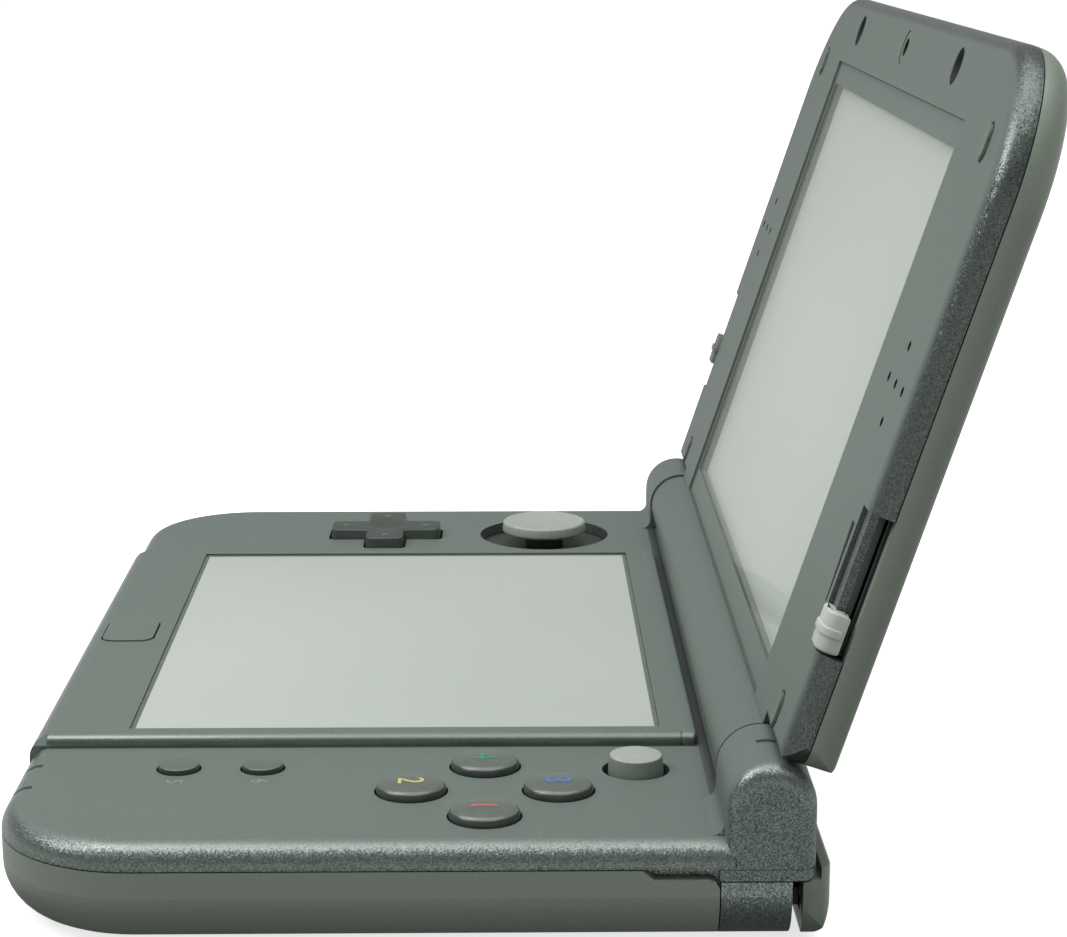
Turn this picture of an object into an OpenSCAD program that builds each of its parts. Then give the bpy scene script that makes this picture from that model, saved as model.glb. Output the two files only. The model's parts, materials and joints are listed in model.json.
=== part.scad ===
// Clamshell handheld game console, life size, in millimetres.
// The lower body lies on its bottom face with its hinge at the back, and the lid stands open.

/* [Body] */
// Width of the lower body and of the lid
body_w = 160; // [150:1:170]
// Depth from the front edge to the back of the shoulder buttons
body_d = 93.5; // [91:0.5:100]
// Corner radius of the outline at the front
body_corner = 16.7; // [12:0.1:18]
// Height of the joint between the deck shell and the bottom cover
parting_z = 9.2; // [9:0.1:9.8]
// Height of the deck that carries the buttons
deck_z = 12.1; // [11.9:0.1:12.5]
// Rise of the screen surround above the deck
plateau_rise = 1.5; // [1.2:0.1:1.7]
// Half width of the screen surround at its foot
plateau_half = 46.2; // [45.8:0.1:47]
// Slope width at the sides of the screen surround
plateau_bevel = 1; // [0.4:0.1:1.2]
// Radius of the bottom edge
bottom_round = 6; // [4:0.5:7]
// Radius of the upper edge
top_round = 2.7; // [2:0.1:2.7]
// How far the shoulder buttons stand out behind the rear wall
shoulder_proud = 1.85; // [1.7:0.05:2.1]
// Wall of the bottom cover
cover_wall = 1.5; // [1.2:0.1:1.6]
// Wall of the lower case
case_wall = 1.2; // [1:0.1:1.4]
// Floor of the lower case
case_floor = 0.8; // [0.6:0.1:1]
// Plate of the deck shell
deck_plate = 1.6; // [1.4:0.1:1.7]
// Depth of the removable bottom cover, from the front edge
cover_d = 81; // [80:0.5:83]

/* [Lid] */
// Angle between the lid and the lower body, closed at 0
lid_open = 108.4; // [0:0.1:150]
// Distance from the hinge axis to the lid's free edge
lid_reach = 85.9; // [84:0.1:87]
// Distance from the hinge axis to the lid's lower edge beside the barrel
lid_foot = 5.3; // [5.2:0.1:5.8]
// Height of the inner face of the lid over the hinge axis
lid_face = 1.3; // [1.1:0.1:1.5]
// Depth of the lid's back below the hinge axis
lid_back = 5.5; // [5.3:0.1:6]
// Depth of the joint between the lid's two shells below the hinge axis
lid_parting = 1.6; // [1.4:0.1:1.8]
// Plate of the lid's inner shell
lid_plate = 1.7; // [1.5:0.1:1.8]
// Wall of the lid's outer shell
lid_wall = 1.4; // [1.2:0.1:1.5]
// Radius of the outer shell's edge
lid_round = 3.4; // [2.5:0.1:3.5]
// Radius of the small corners beside the hinge
lid_foot_corner = 2.5; // [1.5:0.1:3]

/* [Hinge] */
// Distance from the rear wall to the hinge axis
hinge_inset = 5; // [5:0.1:5.2]
// Height of the hinge axis
hinge_z = 16; // [15.9:0.1:16.3]
// Radius of the centre barrel
barrel_r = 4.8; // [4.4:0.1:4.9]
// Radius of the knuckles
knuckle_r = 5; // [4.9:0.1:5.1]
// Width of each knuckle
knuckle_w = 15; // [13:0.5:17]
// Rounding of the knuckles' outer ends
knuckle_round = 2; // [1:0.1:2.5]
// Radius of the hollow bush in the left knuckle
bush_r = 2.6; // [2.4:0.1:2.8]
// Radius of the hinge unit in the right knuckle
unit_r = 3; // [2.8:0.1:3.1]
// Radius of the hinge unit's shaft
shaft_r = 1.6; // [1.4:0.1:1.8]

/* [Screens] */
// Width of the lower screen's window
lower_window_w = 86.4; // [84:0.2:87]
// Depth of the lower screen's window
lower_window_d = 64.8; // [62:0.2:66]
// Distance from the front edge to the middle of the lower screen
lower_window_y = 44.15; // [43.5:0.05:45]
// Width of the upper glass plate
glass_w = 109; // [107:0.5:112]
// Distance from the hinge axis to the glass plate's lower edge
glass_low = 5.1; // [4.9:0.1:5.5]
// Distance from the hinge axis to the glass plate's upper edge
glass_high = 75.8; // [74:0.1:77]
// Depth of the glass plate's face below the lid's inner face
glass_recess = 0.4; // [0.2:0.1:0.5]
// Thickness of the glass plate
glass_t = 0.5; // [0.4:0.1:0.6]
// Width of the upper screen's picture
upper_window_w = 105.8; // [100:0.2:106.2]

/* [Buttons] */
// Middle of the four action buttons, across
action_x = 62.2; // [61.6:0.1:62.6]
// Middle of the four action buttons, from the front edge
action_y = 55.25; // [54.5:0.05:56]
// Distance from that middle to each action button
action_step = 8.5; // [8.2:0.1:8.8]
// Radius of the action buttons
action_r = 4.05; // [3.6:0.05:4.2]
// Height of the action buttons above the deck
action_rise = 1.3; // [0.9:0.1:1.5]
// Travel of the action buttons
action_travel = 0.7; // [0.5:0.1:0.8]
// Radius of the two small round buttons
small_r = 2.45; // [2:0.05:2.7]
// Place of the small round buttons, across
small_x = 54; // [53:0.1:55]
// Place of the first small button, from the front edge
small_y = 19.05; // [18.5:0.05:20]
// Distance between the small round buttons
small_step = 9.9; // [9:0.1:11]
// Width of the home button
home_w = 10; // [8:0.1:11]
// Depth of the home button
home_d = 6.9; // [6:0.1:7.2]
// Place of the home button, from the front edge
home_y = 6.05; // [5.8:0.05:6.2]
// Middle of the left-hand controls, across
left_x = 61.5; // [61:0.1:62]
// Place of the direction pad, from the front edge
dpad_y = 38.75; // [38:0.05:39]
// Span of the direction pad
dpad_span = 17.4; // [16:0.1:17.6]
// Width of each arm of the direction pad
dpad_arm = 5.9; // [5:0.1:6.2]
// Place of the circle pad, from the front edge
pad_y = 64.25; // [64:0.05:64.5]
// Radius of the circle pad's cap
pad_r = 6.8; // [6:0.1:7.2]
// Radius of the round opening that the circle pad moves in
pad_window_r = 10.3; // [10:0.1:10.5]
// Travel of the circle pad each way
pad_travel = 2.6; // [2:0.1:2.7]
// Place of the small stick, across
stick_x = 54.9; // [54:0.1:55.5]
// Place of the small stick, from the front edge
stick_y = 73.05; // [72:0.05:74]
// Radius of the small stick's cap
stick_r = 3.3; // [3:0.1:3.6]

/* [Ports] */
// Middle of the game card slot, across
card_x = -48.5; // [-49:0.1:-48]
// Width of the game card slot
card_w = 34; // [33.5:0.1:35]
// Height of the game card slot
card_h = 4.2; // [4.1:0.1:4.3]
// Depth of the game card slot
card_d = 32; // [31:0.1:33]
// Place of the stylus, across
stylus_x = -24; // [-24.4:0.1:-23.6]
// Radius of the stylus
stylus_r = 2.2; // [2:0.05:2.25]
// Length of the stylus
stylus_l = 78; // [70:0.5:79]
// Radius of the headphone socket's bore
jack_r = 1.8; // [1.75:0.01:1.9]
// Place of the power button, across
power_x = 38; // [37:0.1:40]
// Place of the charging port, across
charge_x = 19; // [17:0.1:21]

/* [Fits] */
// Gap at the joints between shells
seam = 0.15; // [0.1:0.05:0.25]
// Gap round the buttons
button_gap = 0.22; // [0.15:0.01:0.3]
// Running clearance of the hinge, on the radius
hinge_fit = 0.05; // [0.03:0.01:0.08]
// Gap between inner pieces
inner_gap = 0.1; // [0.06:0.01:0.15]

/* [Hidden] */
$fn = 64;
over = 1;
left = -1;
right = 1;

shell_colour = [0.34, 0.38, 0.36];
cover_colour = [0.29, 0.32, 0.30];
button_colour = [0.20, 0.22, 0.21];
steel_colour = [0.62, 0.63, 0.65];
board_colour = [0.10, 0.30, 0.20];
rubber_colour = [0.15, 0.15, 0.16];

// Main planes of the lower body
front_y = -body_d / 2;
rear_wall_y = body_d / 2 - shoulder_proud;
cover_rear_y = front_y + cover_d;
cover_top_z = parting_z - seam;
plateau_z = deck_z + plateau_rise;
ceiling_z = deck_z - deck_plate;
plateau_ceiling_z = plateau_z - deck_plate;
hinge_y = rear_wall_y - hinge_inset;
knuckle_x = body_w / 2 - knuckle_w;
trough_r = barrel_r + 3 * seam;
plateau_rear_y = hinge_y - barrel_r - 1.9;
skirt_z = parting_z - 1.4;
beam_front_y = hinge_y - knuckle_r;
shell_wall = 1.5;
groove_depth = 0.12;

// Lower case
case_inset = cover_wall + seam;
room_inset = case_inset + case_wall;
room_floor_z = case_inset + case_floor;
bay_y = rear_wall_y - 2.7;
bay_x = 35.5;
room_rear_y = bay_y - 1.4;
post_r = 2.2;
post_places = [[-72.2, 12.6], [72.2, 12.6], [-74.6, 49.75], [74.6, 46.75]];
post_bore_r = 0.85;
cover_screw_places = [[-38, 77.25], [38, 77.25]];

// Boards and what stands on them
board_t = 0.8;
board_z = 6.9;
board_top_z = board_z + board_t;
mat_z = board_top_z + inner_gap / 2;
screen_t = 2.15;
screen_top_z = plateau_ceiling_z - inner_gap;
touch_face_z = plateau_z - 0.3;
lower_screen_y = front_y + lower_window_y;
lower_screen_w = 90;
lower_screen_d = 66.6;

// Ports
card_z0 = 2.35;
card_sheet = 0.25;
port_z = 4.5;
port_back_y = front_y + bottom_round + 0.3;
power_z = 6.2;
stylus_z = 4.7;
stylus_bore_r = stylus_r + 0.15;
stylus_tube_r = stylus_bore_r + 0.55;
jack_z = 4.3;
jack_ring_r = 2.4;
power_w = 8;
power_h = 2.6;
power_travel = 0.5;
charge_w = 8.6;
charge_h = 3.4;
inner_front_y = front_y + cover_wall + seam;
case_inner_y = inner_front_y + case_wall;

// Buttons
flange_t = 0.8;
flange_z = ceiling_z - flange_t - inner_gap;
flange_rim = 0.95;
dome_sag = 0.45;
home_travel = 0.5;
small_rise = 0.7;

// Lights
indicator_x = [52.8, 60.4];
indicator_w = 0.9;
knuckle_light_x = knuckle_x + 6.2;

// Direction pad
dpad_flange_r = dpad_span / 2 + 0.9;
dpad_flange_z = 9.3;
dpad_pivot_z = 9;
dpad_rise = 1.6;

// Circle pad
pad_disc_r = pad_window_r + pad_travel + 0.1;
pad_disc_t = 0.5;
pad_disc_z = ceiling_z - pad_disc_t - inner_gap;
pad_plate_half = 11.5;
pad_key_w = 5;
pad_rise = 2.3;

// Small stick
stick_rise = 1.9;
stick_post_r = 2.4;
stick_tilt_z = 9.2;

// Shoulder buttons and triggers
bulge_r = 7;
bulge_z = 5.2;
shoulder_inner_x = 52;
shoulder_front_y = bay_y + 1.2;
shoulder_top_z = skirt_z - 0.25;
shoulder_lip_y = rear_wall_y + 0.6;
shoulder_lip_z = skirt_z + 1;
shoulder_corner = 4;
skirt_round = 1.2;
trigger_inner_x = bay_x + 0.7;
trigger_outer_x = shoulder_inner_x - 0.6;
pin_r = 0.75;
pin_y = bay_y + 1.5;
pin_boss_r = 1.25;
pin_inset = 2;
ear_t = 1;
ear_low_z = 0.4;
ear_half = 1.5;

// Hinge
hinge_gap = 0.3;
bush_l = 21;
bush_bore_r = 1.9;
unit_l = 12.5;
shaft_out = 8;
shaft_in = 6.5;
socket_r = 2.4;
socket_flat = 1.95;
cable_r = 1.6;
cable_x = -47.5;
cable_w = 5;
cable_roll_l = 25;
ribbon_t = 0.15;

// Lid, in its own frame: the hinge axis is the origin, Y runs up the lid, Z comes out of its inner face
bezel_round = 2.4;
lid_corner = body_corner;
lid_side = 1.4;
foot_round = 1.3;
lid_ceiling = lid_face - lid_plate;
lid_floor = lid_wall - lid_back;
bezel_low = seam / 2 - lid_parting;
cover_high = -lid_parting - seam / 2;
neck_half = knuckle_x - hinge_gap;
neck_start = 3.8;
glass_face = lid_face - glass_recess;
glass_bed = glass_face - glass_t;
upper_window_h = 63.5;
upper_window_y = glass_high - 3.4 - upper_window_h / 2;
upper_screen_w = 112;
upper_screen_h = 66;
upper_screen_t = 2.2;
top_row_y = 81.1;
lens_x = -1;
emitter_x = 39;
light_x = -44;
sensor_r = 2.2;
outer_camera_x = 17.5;
outer_camera_y = 77.5;
outer_camera_r = 3;
speaker_x = 69;
speaker_y = 46.9;
speaker_hole_r = 0.6;
speaker_pitch_x = 4.7;
speaker_pitch_y = 4.4;
bumper_x = 70;
bumper_rows = [8.3, 74.7];
bumper_w = 2.4;
bumper_l = 4;
bumper_proud = 0.3;
bumper_depth = 0.7;
lid_screw_r = 0.7;
lid_head_r = 1.05;
cable_z = bezel_low + 0.1;
cable_turn_y = lid_foot + lid_side + 0.25;
cable_low_z = lid_floor + 0.5;
slot_low_y = 18;
slot_high_y = 34.3;
slot_shelf_x = 75.4;
slot_channel_x = 77.8;
slot_shelf_z = lid_face - 0.6;
knob_l = 4.6;
knob_low_z = bezel_low + 0.1;
knob_top_z = lid_face + 0.45;
knob_start_y = slot_low_y + 0.3;
volume_start_y = slot_low_y + 4.2;

// Stretches a flat outline along X, with its first axis along Y and its second along Z
module along_x(x0, x1) {
    translate([x0, 0, 0]) rotate([90, 0, 90]) linear_extrude(x1 - x0) children();
}

// Stretches a flat outline along Y, with its first axis along X and its second along Z
module along_y(y0, y1) {
    translate([0, y1, 0]) rotate([90, 0, 0]) linear_extrude(y1 - y0) children();
}

module along_z(z0, z1) {
    translate([0, 0, z0]) linear_extrude(z1 - z0) children();
}

module block(x0, x1, y0, y1, z0, z1) {
    translate([x0, y0, z0]) cube([x1 - x0, y1 - y0, z1 - z0]);
}

// Both sides of the body, from the right-hand one
module both() {
    for (side = [0, 1]) mirror([side, 0, 0]) children();
}

module on_lid() {
    translate([0, hinge_y, hinge_z]) rotate([180 - lid_open, 0, 0]) children();
}

// What a rounded edge takes off a square corner, drawn about the round's centre
module corner_cut(r, up) {
    difference() {
        translate([0, up > 0 ? 0 : -r - over]) square(r + over);
        circle(r);
    }
}

// Edge profile from the middle of a slab out to its rim
module rim(reach, z0, z1, low, high) {
    difference() {
        translate([0, z0]) square([reach, z1 - z0]);
        if (low > 0) translate([reach - low, z0 + low]) corner_cut(low, -1);
        if (high > 0) translate([reach - high, z1 - high]) corner_cut(high, 1);
    }
}

// Slab with rounded corners and rounded lower and upper edges
module soft_slab(w, y0, y1, z0, z1, front_r, rear_r, low, high) {
    along_y(y0 + front_r, y1 - rear_r)
        for (side = [0, 1]) mirror([side, 0]) rim(w / 2, z0, z1, low, high);
    if (front_r > 0) {
        along_x(front_r - w / 2, w / 2 - front_r)
            translate([y0 + front_r, 0]) mirror([1, 0]) rim(front_r, z0, z1, low, high);
        for (side = [left, right])
            translate([side * (w / 2 - front_r), y0 + front_r, 0])
                rotate_extrude() rim(front_r, z0, z1, low, high);
    }
    if (rear_r > 0) {
        along_x(rear_r - w / 2, w / 2 - rear_r)
            translate([y1 - rear_r, 0]) rim(rear_r, z0, z1, low, high);
        for (side = [left, right])
            translate([side * (w / 2 - rear_r), y1 - rear_r, 0])
                rotate_extrude() rim(rear_r, z0, z1, low, high);
    }
}

// Flat rectangle with round corners, about its middle
module soft_square(w, d, r) {
    square([w - 2 * r, d], center = true);
    square([w, d - 2 * r], center = true);
    for (x = [left, right], y = [-1, 1]) translate([x * (w / 2 - r), y * (d / 2 - r)]) circle(r);
}

// Flat cross of the direction pad
module cross(span, arm) {
    soft_square(span, arm, 1);
    soft_square(arm, span, 1);
}

// Places given as distances from the front edge
module at_front(x, d) {
    translate([x, front_y + d, 0]) children();
}

// Round button with a domed top and a flange below, about its own axis
module round_button(r, top_z, flange_r) {
    rotate_extrude() {
        translate([0, flange_z]) square([flange_r, flange_t]);
        intersection() {
            translate([0, flange_z]) square([r, top_z - flange_z]);
            dome_r = (r * r + dome_sag * dome_sag) / (2 * dome_sag);
            translate([0, top_z - dome_r]) circle(dome_r, $fn = 180);
        }
    }
}

// Lower body shells
module bottom_cover() color(cover_colour) difference() {
    soft_slab(body_w, front_y, cover_rear_y, 0, cover_top_z, body_corner, 0, bottom_round, 0);
    soft_slab(body_w - 2 * cover_wall, front_y + cover_wall, cover_rear_y + over, cover_wall,
        cover_top_z + over, body_corner - cover_wall, 0, bottom_round - cover_wall, 0);
    port_cuts(front_y - over, port_back_y, 0);
    for (p = cover_screw_places) at_front(p[0], p[1]) {
        cylinder(h = 3 * cover_wall, r = 1.3, center = true);
        translate([0, 0, -over]) cylinder(h = over + 0.8, r = 2.6);
    }
    // Notches for a fingernail at the rear of each side
    both() along_x(body_w / 2 - cover_wall - over, body_w / 2 + over)
        polygon([[cover_rear_y - 8.5, cover_top_z + over], [cover_rear_y - 8.5, cover_top_z],
            [cover_rear_y - 7.2, cover_top_z - 1.1], [cover_rear_y - 1.2, cover_top_z - 1.1],
            [cover_rear_y - 0.4, cover_top_z - 1.4], [cover_rear_y, cover_top_z - 2.2],
            [cover_rear_y + over, cover_top_z - 2.2], [cover_rear_y + over, cover_top_z + over]]);
}

// Mouths of the card slot, stylus, headphone socket and power button in the front walls
module port_cuts(y0, y1, grow) {
    along_y(y0, y1) {
        translate([card_x - card_w / 2, card_z0]) square([card_w, card_h]);
        translate([stylus_x, stylus_z]) circle(stylus_bore_r + grow);
        translate([0, jack_z]) circle(jack_ring_r + seam);
        translate([power_x, power_z])
            soft_square(power_w + 2 * button_gap, power_h + 2 * button_gap, power_h / 2);
    }
}

module lower_case() color(shell_colour) difference() {
    union() {
        difference() {
            case_form();
            case_room();
        }
        intersection() {
            case_form();
            union() {
                for (p = post_places) at_front(p[0], p[1])
                    along_z(room_floor_z - 0.1, cover_top_z) circle(post_r);
                for (p = cover_screw_places) at_front(p[0], p[1])
                    along_z(room_floor_z - 0.1, 6) circle(post_r);
                along_y(case_inner_y - 0.1, front_y + stylus_l + 2.5) stylus_channel();
            }
        }
        // Lower ears that carry the pivot pins
        both() for (x = [shoulder_inner_x, trigger_inner_x])
            block(x, x + pin_inset + ear_half, bay_y - 0.1, pin_y + ear_half, ear_low_z, ear_low_z + ear_t);
    }
    port_cuts(inner_front_y - over, port_back_y, 0);
    block(-4, 4, port_back_y - over, port_back_y + 11, case_inset - over, jack_z);
    along_y(inner_front_y - over, front_y + stylus_l + 1)
        translate([stylus_x, stylus_z]) circle(stylus_bore_r);
    // Room behind the wall for the power button's flange
    block(power_x - power_w / 2 - 1.2, power_x + power_w / 2 + 1.2, inner_front_y - over, case_inner_y + over,
        power_z - power_h / 2 - 0.9, power_z + power_h / 2 + 0.9);
    // Bed of the card reader and bay of the battery
    block(card_x - card_w / 2 - 0.6, card_x + card_w / 2 + 0.6, port_back_y - 0.1, front_y + card_d + 5.6,
        case_inset - over, room_floor_z + 0.2);
    battery_outline(0.4, case_inset - over, room_floor_z + over / 2);
    for (p = post_places) at_front(p[0], p[1]) {
        cylinder(h = cover_top_z + over, r = post_bore_r + 0.1);
        cylinder(h = room_floor_z + 1.2, r = 1.7);
    }
    for (p = cover_screw_places) at_front(p[0], p[1]) cylinder(h = 6 + over, r = 1.05);
    both() for (x = [shoulder_inner_x, trigger_inner_x])
        translate([x + pin_inset, pin_y, 0]) cylinder(h = 3, r = pin_r + 0.02);
    // Rear ports
    along_y(room_rear_y - over, rear_wall_y + over) {
        translate([charge_x, port_z]) square([charge_w + 0.4, charge_h + 0.4], center = true);
        translate([0, port_z]) square([13, 3], center = true);
    }
    along_y(rear_wall_y - 0.8, rear_wall_y + over) translate([0, port_z]) square([16.2, 4.6], center = true);
}

// Outside of the lower case: a tray inside the bottom cover and a full-width block behind it
module case_form() {
    soft_slab(body_w - 2 * case_inset, inner_front_y, cover_rear_y + 2, case_inset, cover_top_z,
        body_corner - case_inset, 0, bottom_round - case_inset, 0);
    difference() {
        soft_slab(body_w, cover_rear_y + seam, rear_wall_y, 0, skirt_z - seam, 0, 0, bottom_round, 0);
        both() block(bay_x, body_w, bay_y, rear_wall_y + over, -over, parting_z);
        both() along_x(bay_x, body_w) translate([bay_y - over, over]) corner_cut(over, -1);
        along_x(-bay_x - over, bay_x + over) translate([rear_wall_y - over, over]) corner_cut(over, -1);
    }
}

// Room inside the lower case, open at the top
module case_room() {
    soft_slab(body_w - 2 * room_inset, case_inner_y, room_rear_y, room_floor_z, parting_z + over,
        body_corner - room_inset, 0, bottom_round - room_inset, 0);
    block(-body_w, body_w, cover_rear_y + seam, room_rear_y + over, skirt_z - seam, parting_z + over);
}

module stylus_channel() {
    translate([stylus_x, stylus_z]) circle(stylus_tube_r);
    translate([stylus_x - stylus_tube_r, case_inset]) square([2 * stylus_tube_r, stylus_z - case_inset]);
}

module deck_shell() color(shell_colour) difference() {
    union() {
        soft_slab(body_w, front_y, beam_front_y + 1, parting_z, deck_z, body_corner, 0, 0, top_round);
        both() block(body_w / 2 - shell_wall, body_w / 2, cover_rear_y, beam_front_y + 1, skirt_z,
            parting_z + 0.1);
        screen_surround();
        rear_beam();
        both() knuckle();
        both() block(body_w / 2 - knuckle_round - 0.5, body_w / 2, beam_front_y, hinge_y, skirt_z,
            deck_z - top_round);
        for (p = post_places) at_front(p[0], p[1]) along_z(parting_z, deck_z - 0.2) circle(post_r);
    }
    both() {
        along_x(knuckle_x, body_w / 2 + over)
            translate([rear_wall_y - skirt_round, skirt_z + skirt_round]) corner_cut(skirt_round, -1);
        along_z(parting_z - 0.15, parting_z) skirt_groove();
    }
    difference() {
        along_z(parting_z - over, ceiling_z) shell_room();
        for (p = post_places) at_front(p[0], p[1]) along_z(parting_z, deck_z) circle(post_r);
    }
    block(-lower_screen_w / 2 - 0.3, lower_screen_w / 2 + 0.3, lower_screen_y - lower_screen_d / 2 - 0.3,
        lower_screen_y + lower_screen_d / 2 + 0.3, parting_z - over, plateau_ceiling_z);
    translate([0, lower_screen_y, plateau_z])
        cube([lower_window_w, lower_window_d, 6], center = true);
    for (p = post_places) at_front(p[0], p[1]) translate([0, 0, parting_z - over])
        cylinder(h = over + 1.8, r = post_bore_r);
    button_holes();
    indicator_slots();
    // Trough behind the deck that the barrel turns in
    along_x(-knuckle_x, knuckle_x) translate([hinge_y, hinge_z]) circle(trough_r);
    along_hinge(knuckle_x - over, unit_l + over + 0.7, unit_r + 0.02);
    mirror([1, 0, 0]) along_hinge(knuckle_x - over, 13.7 + over, bush_r + 0.02);
    both() for (x = [shoulder_inner_x, trigger_inner_x])
        translate([x + pin_inset, pin_y, skirt_z - over]) cylinder(h = 2 + over, r = pin_r + 0.02);
}

// Raised frame round the lower screen, carried over the front edge
module screen_surround() {
    intersection() {
        along_x(-plateau_half, plateau_half) difference() {
            translate([front_y, parting_z]) square([plateau_rear_y - front_y, plateau_z - parting_z]);
            translate([front_y + top_round, plateau_z - top_round]) mirror([1, 0]) corner_cut(top_round, 1);
            translate([plateau_rear_y - 0.6, plateau_z - 0.6]) corner_cut(0.6, 1);
        }
        along_y(front_y, plateau_rear_y) for (side = [0, 1]) mirror([side, 0])
            polygon([[0, parting_z], [plateau_half, parting_z], [plateau_half, deck_z + 0.3],
                [plateau_half - plateau_bevel, plateau_z], [0, plateau_z]]);
    }
}

// Outline of the room under the deck
module shell_room() {
    room_d = plateau_rear_y - front_y - shell_wall;
    translate([0, front_y + shell_wall]) intersection() {
        translate([0, room_d]) soft_square(body_w - 2 * shell_wall, 2 * room_d, body_corner - shell_wall);
        translate([-body_w / 2, 0]) square([body_w, room_d]);
    }
}

// Solid strip under the hinge, across the whole width
module rear_beam() {
    block(-knuckle_x - over, knuckle_x + over, beam_front_y, rear_wall_y, skirt_z, deck_z);
}

module knuckle() {
    translate([knuckle_x, hinge_y, hinge_z]) rotate([0, 90, 0])
        rotate_extrude() rim(knuckle_r, 0, knuckle_w, 0, knuckle_round);
    along_z(skirt_z, hinge_z) difference() {
        translate([knuckle_x, hinge_y - knuckle_r]) square([knuckle_w, rear_wall_y - hinge_y + knuckle_r]);
        translate([body_w / 2 - knuckle_round, rear_wall_y - knuckle_round]) corner_cut(knuckle_round, 1);
        translate([body_w / 2 - knuckle_round, hinge_y - knuckle_r + knuckle_round]) corner_cut(knuckle_round, -1);
    }
    // Hollow fillet where the knuckle meets the deck
    along_x(knuckle_x, body_w / 2 - top_round) difference() {
        translate([hinge_y - knuckle_r - 1.5, deck_z - 0.1]) square([1.6, 1.6]);
        translate([hinge_y - knuckle_r - 1.5, deck_z + 1.5]) circle(1.5);
    }
}

// Outline of the fine groove round the knuckle's foot
module skirt_groove() difference() {
    translate([body_w / 2 - 3, cover_rear_y]) square([4, rear_wall_y - cover_rear_y + over]);
    translate([body_w / 2 - 4, cover_rear_y - over])
        square([4 - groove_depth, rear_wall_y - knuckle_round - cover_rear_y + over]);
    translate([body_w / 2 - knuckle_round, rear_wall_y - knuckle_round]) circle(knuckle_round - groove_depth);
    translate([body_w / 2 - 4, rear_wall_y - knuckle_round - over])
        square([4 - knuckle_round, knuckle_round + over - groove_depth]);
}

module button_holes() {
    for (p = action_places()) at_front(p[0], p[1])
        along_z(ceiling_z - over, deck_z + over) circle(action_r + button_gap);
    for (i = [0, 1]) at_front(small_x, small_y + i * small_step)
        along_z(ceiling_z - over, deck_z + over) circle(small_r + button_gap);
    at_front(stick_x, stick_y) along_z(ceiling_z - over, deck_z + over) circle(stick_r + 0.7);
    at_front(-left_x, pad_y) along_z(ceiling_z - over, deck_z + over) circle(pad_window_r);
    at_front(-left_x, dpad_y)
        along_z(ceiling_z - over, deck_z + over) cross(dpad_span + 0.8, dpad_arm + 0.8);
    at_front(0, home_y) along_z(parting_z, plateau_z + over)
        soft_square(home_w + 2 * button_gap, home_d + 2 * button_gap, 2);
}

function action_places() = [
    [action_x + action_step, action_y],
    [action_x, action_y - action_step],
    [action_x, action_y + action_step],
    [action_x - action_step, action_y]
];

// Slots for the two lights on the front edge and the one on the right knuckle
module indicator_slots() {
    for (x = indicator_x) block(x - indicator_w / 2, x + indicator_w / 2, front_y - over, front_y + 2.8,
        parting_z + 1.2, deck_z + over);
    block(knuckle_light_x - 0.45, knuckle_light_x + 0.45, hinge_y - 1.1, hinge_y + 1.1, hinge_z + unit_r + 0.1,
        hinge_z + knuckle_r + over);
}

// Light guides, flush with the rounded faces
module indicator_windows() color([0.80, 0.82, 0.78]) {
    intersection() {
        soft_slab(body_w, front_y, beam_front_y, parting_z, deck_z, body_corner, 0, 0, top_round);
        for (x = indicator_x) block(x - indicator_w / 2 + 0.05, x + indicator_w / 2 - 0.05, front_y - over,
            front_y + 2.75, parting_z + 1.25, deck_z + over);
    }
    intersection() {
        along_hinge(knuckle_x, knuckle_w, knuckle_r - 0.05);
        block(knuckle_light_x - 0.4, knuckle_light_x + 0.4, hinge_y - 1.05, hinge_y + 1.05,
            hinge_z + unit_r + 0.15, hinge_z + knuckle_r + over);
    }
}

// Fasteners
module countersunk_screw(length, r, head_r, head_t) {
    cylinder(h = length, r = r);
    difference() {
        cylinder(h = head_t, r = head_r);
        for (turn = [0, 90]) rotate(turn) cube([1.5 * head_r, 0.4, 0.7], center = true);
    }
}

module cover_screws() color(steel_colour)
    for (p = cover_screw_places) at_front(p[0], p[1]) translate([0, 0, 0.15]) countersunk_screw(5.4, 1, 2.4, 0.6);

module case_screws() color(steel_colour)
    for (p = post_places) at_front(p[0], p[1]) translate([0, 0, room_floor_z + 0.3])
        countersunk_screw(parting_z + 1.3 - room_floor_z, 0.8, 1.55, 0.85);

// Inside the lower body
module battery_outline(grow, z0, z1) {
    block(-15 - grow, 30 + grow, front_y + 21 - grow, front_y + 74 + grow, z0, z1);
}

module battery() color([0.20, 0.28, 0.42]) difference() {
    translate([7.5, front_y + 47.5, cover_wall + inner_gap])
        linear_extrude(board_z - inner_gap - cover_wall - 0.5) soft_square(45, 53, 1.5);
    // Contact recesses at the front edge
    for (x = [-6, -2, 2]) block(x + 6, x + 8, front_y + 20, front_y + 21.5, cover_wall, board_z - 2);
}

module main_board() color(board_colour) {
    difference() {
        union() {
            block(-16, 76.6, front_y + 14.5, front_y + 78, board_z, board_top_z);
            block(-12, 68, front_y + 5, front_y + 15, board_z, board_top_z);
        }
        at_front(post_places[3][0], post_places[3][1]) cylinder(h = 20, r = post_r + 0.4);
        at_front(post_places[1][0], post_places[1][1]) cylinder(h = 20, r = post_r + 0.4);
    }
    // Shielded chips above, memory card socket and power switch below
    block(-10, 18, front_y + 34, front_y + 60, board_top_z - 0.01, board_top_z + 1.3);
    block(24, 40, front_y + 40, front_y + 56, board_top_z - 0.01, board_top_z + 1.1);
    block(54, 68, front_y + 22, front_y + 37, board_z - 1.6, board_z + 0.01);
    block(power_x - 3, power_x + 3, front_y + 5, front_y + 8, board_z - 2, board_z + 0.01);
    block(charge_x + 12, charge_x + 18, front_y + 66, front_y + 72, board_z - 2, board_z + 0.01);
}

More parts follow.
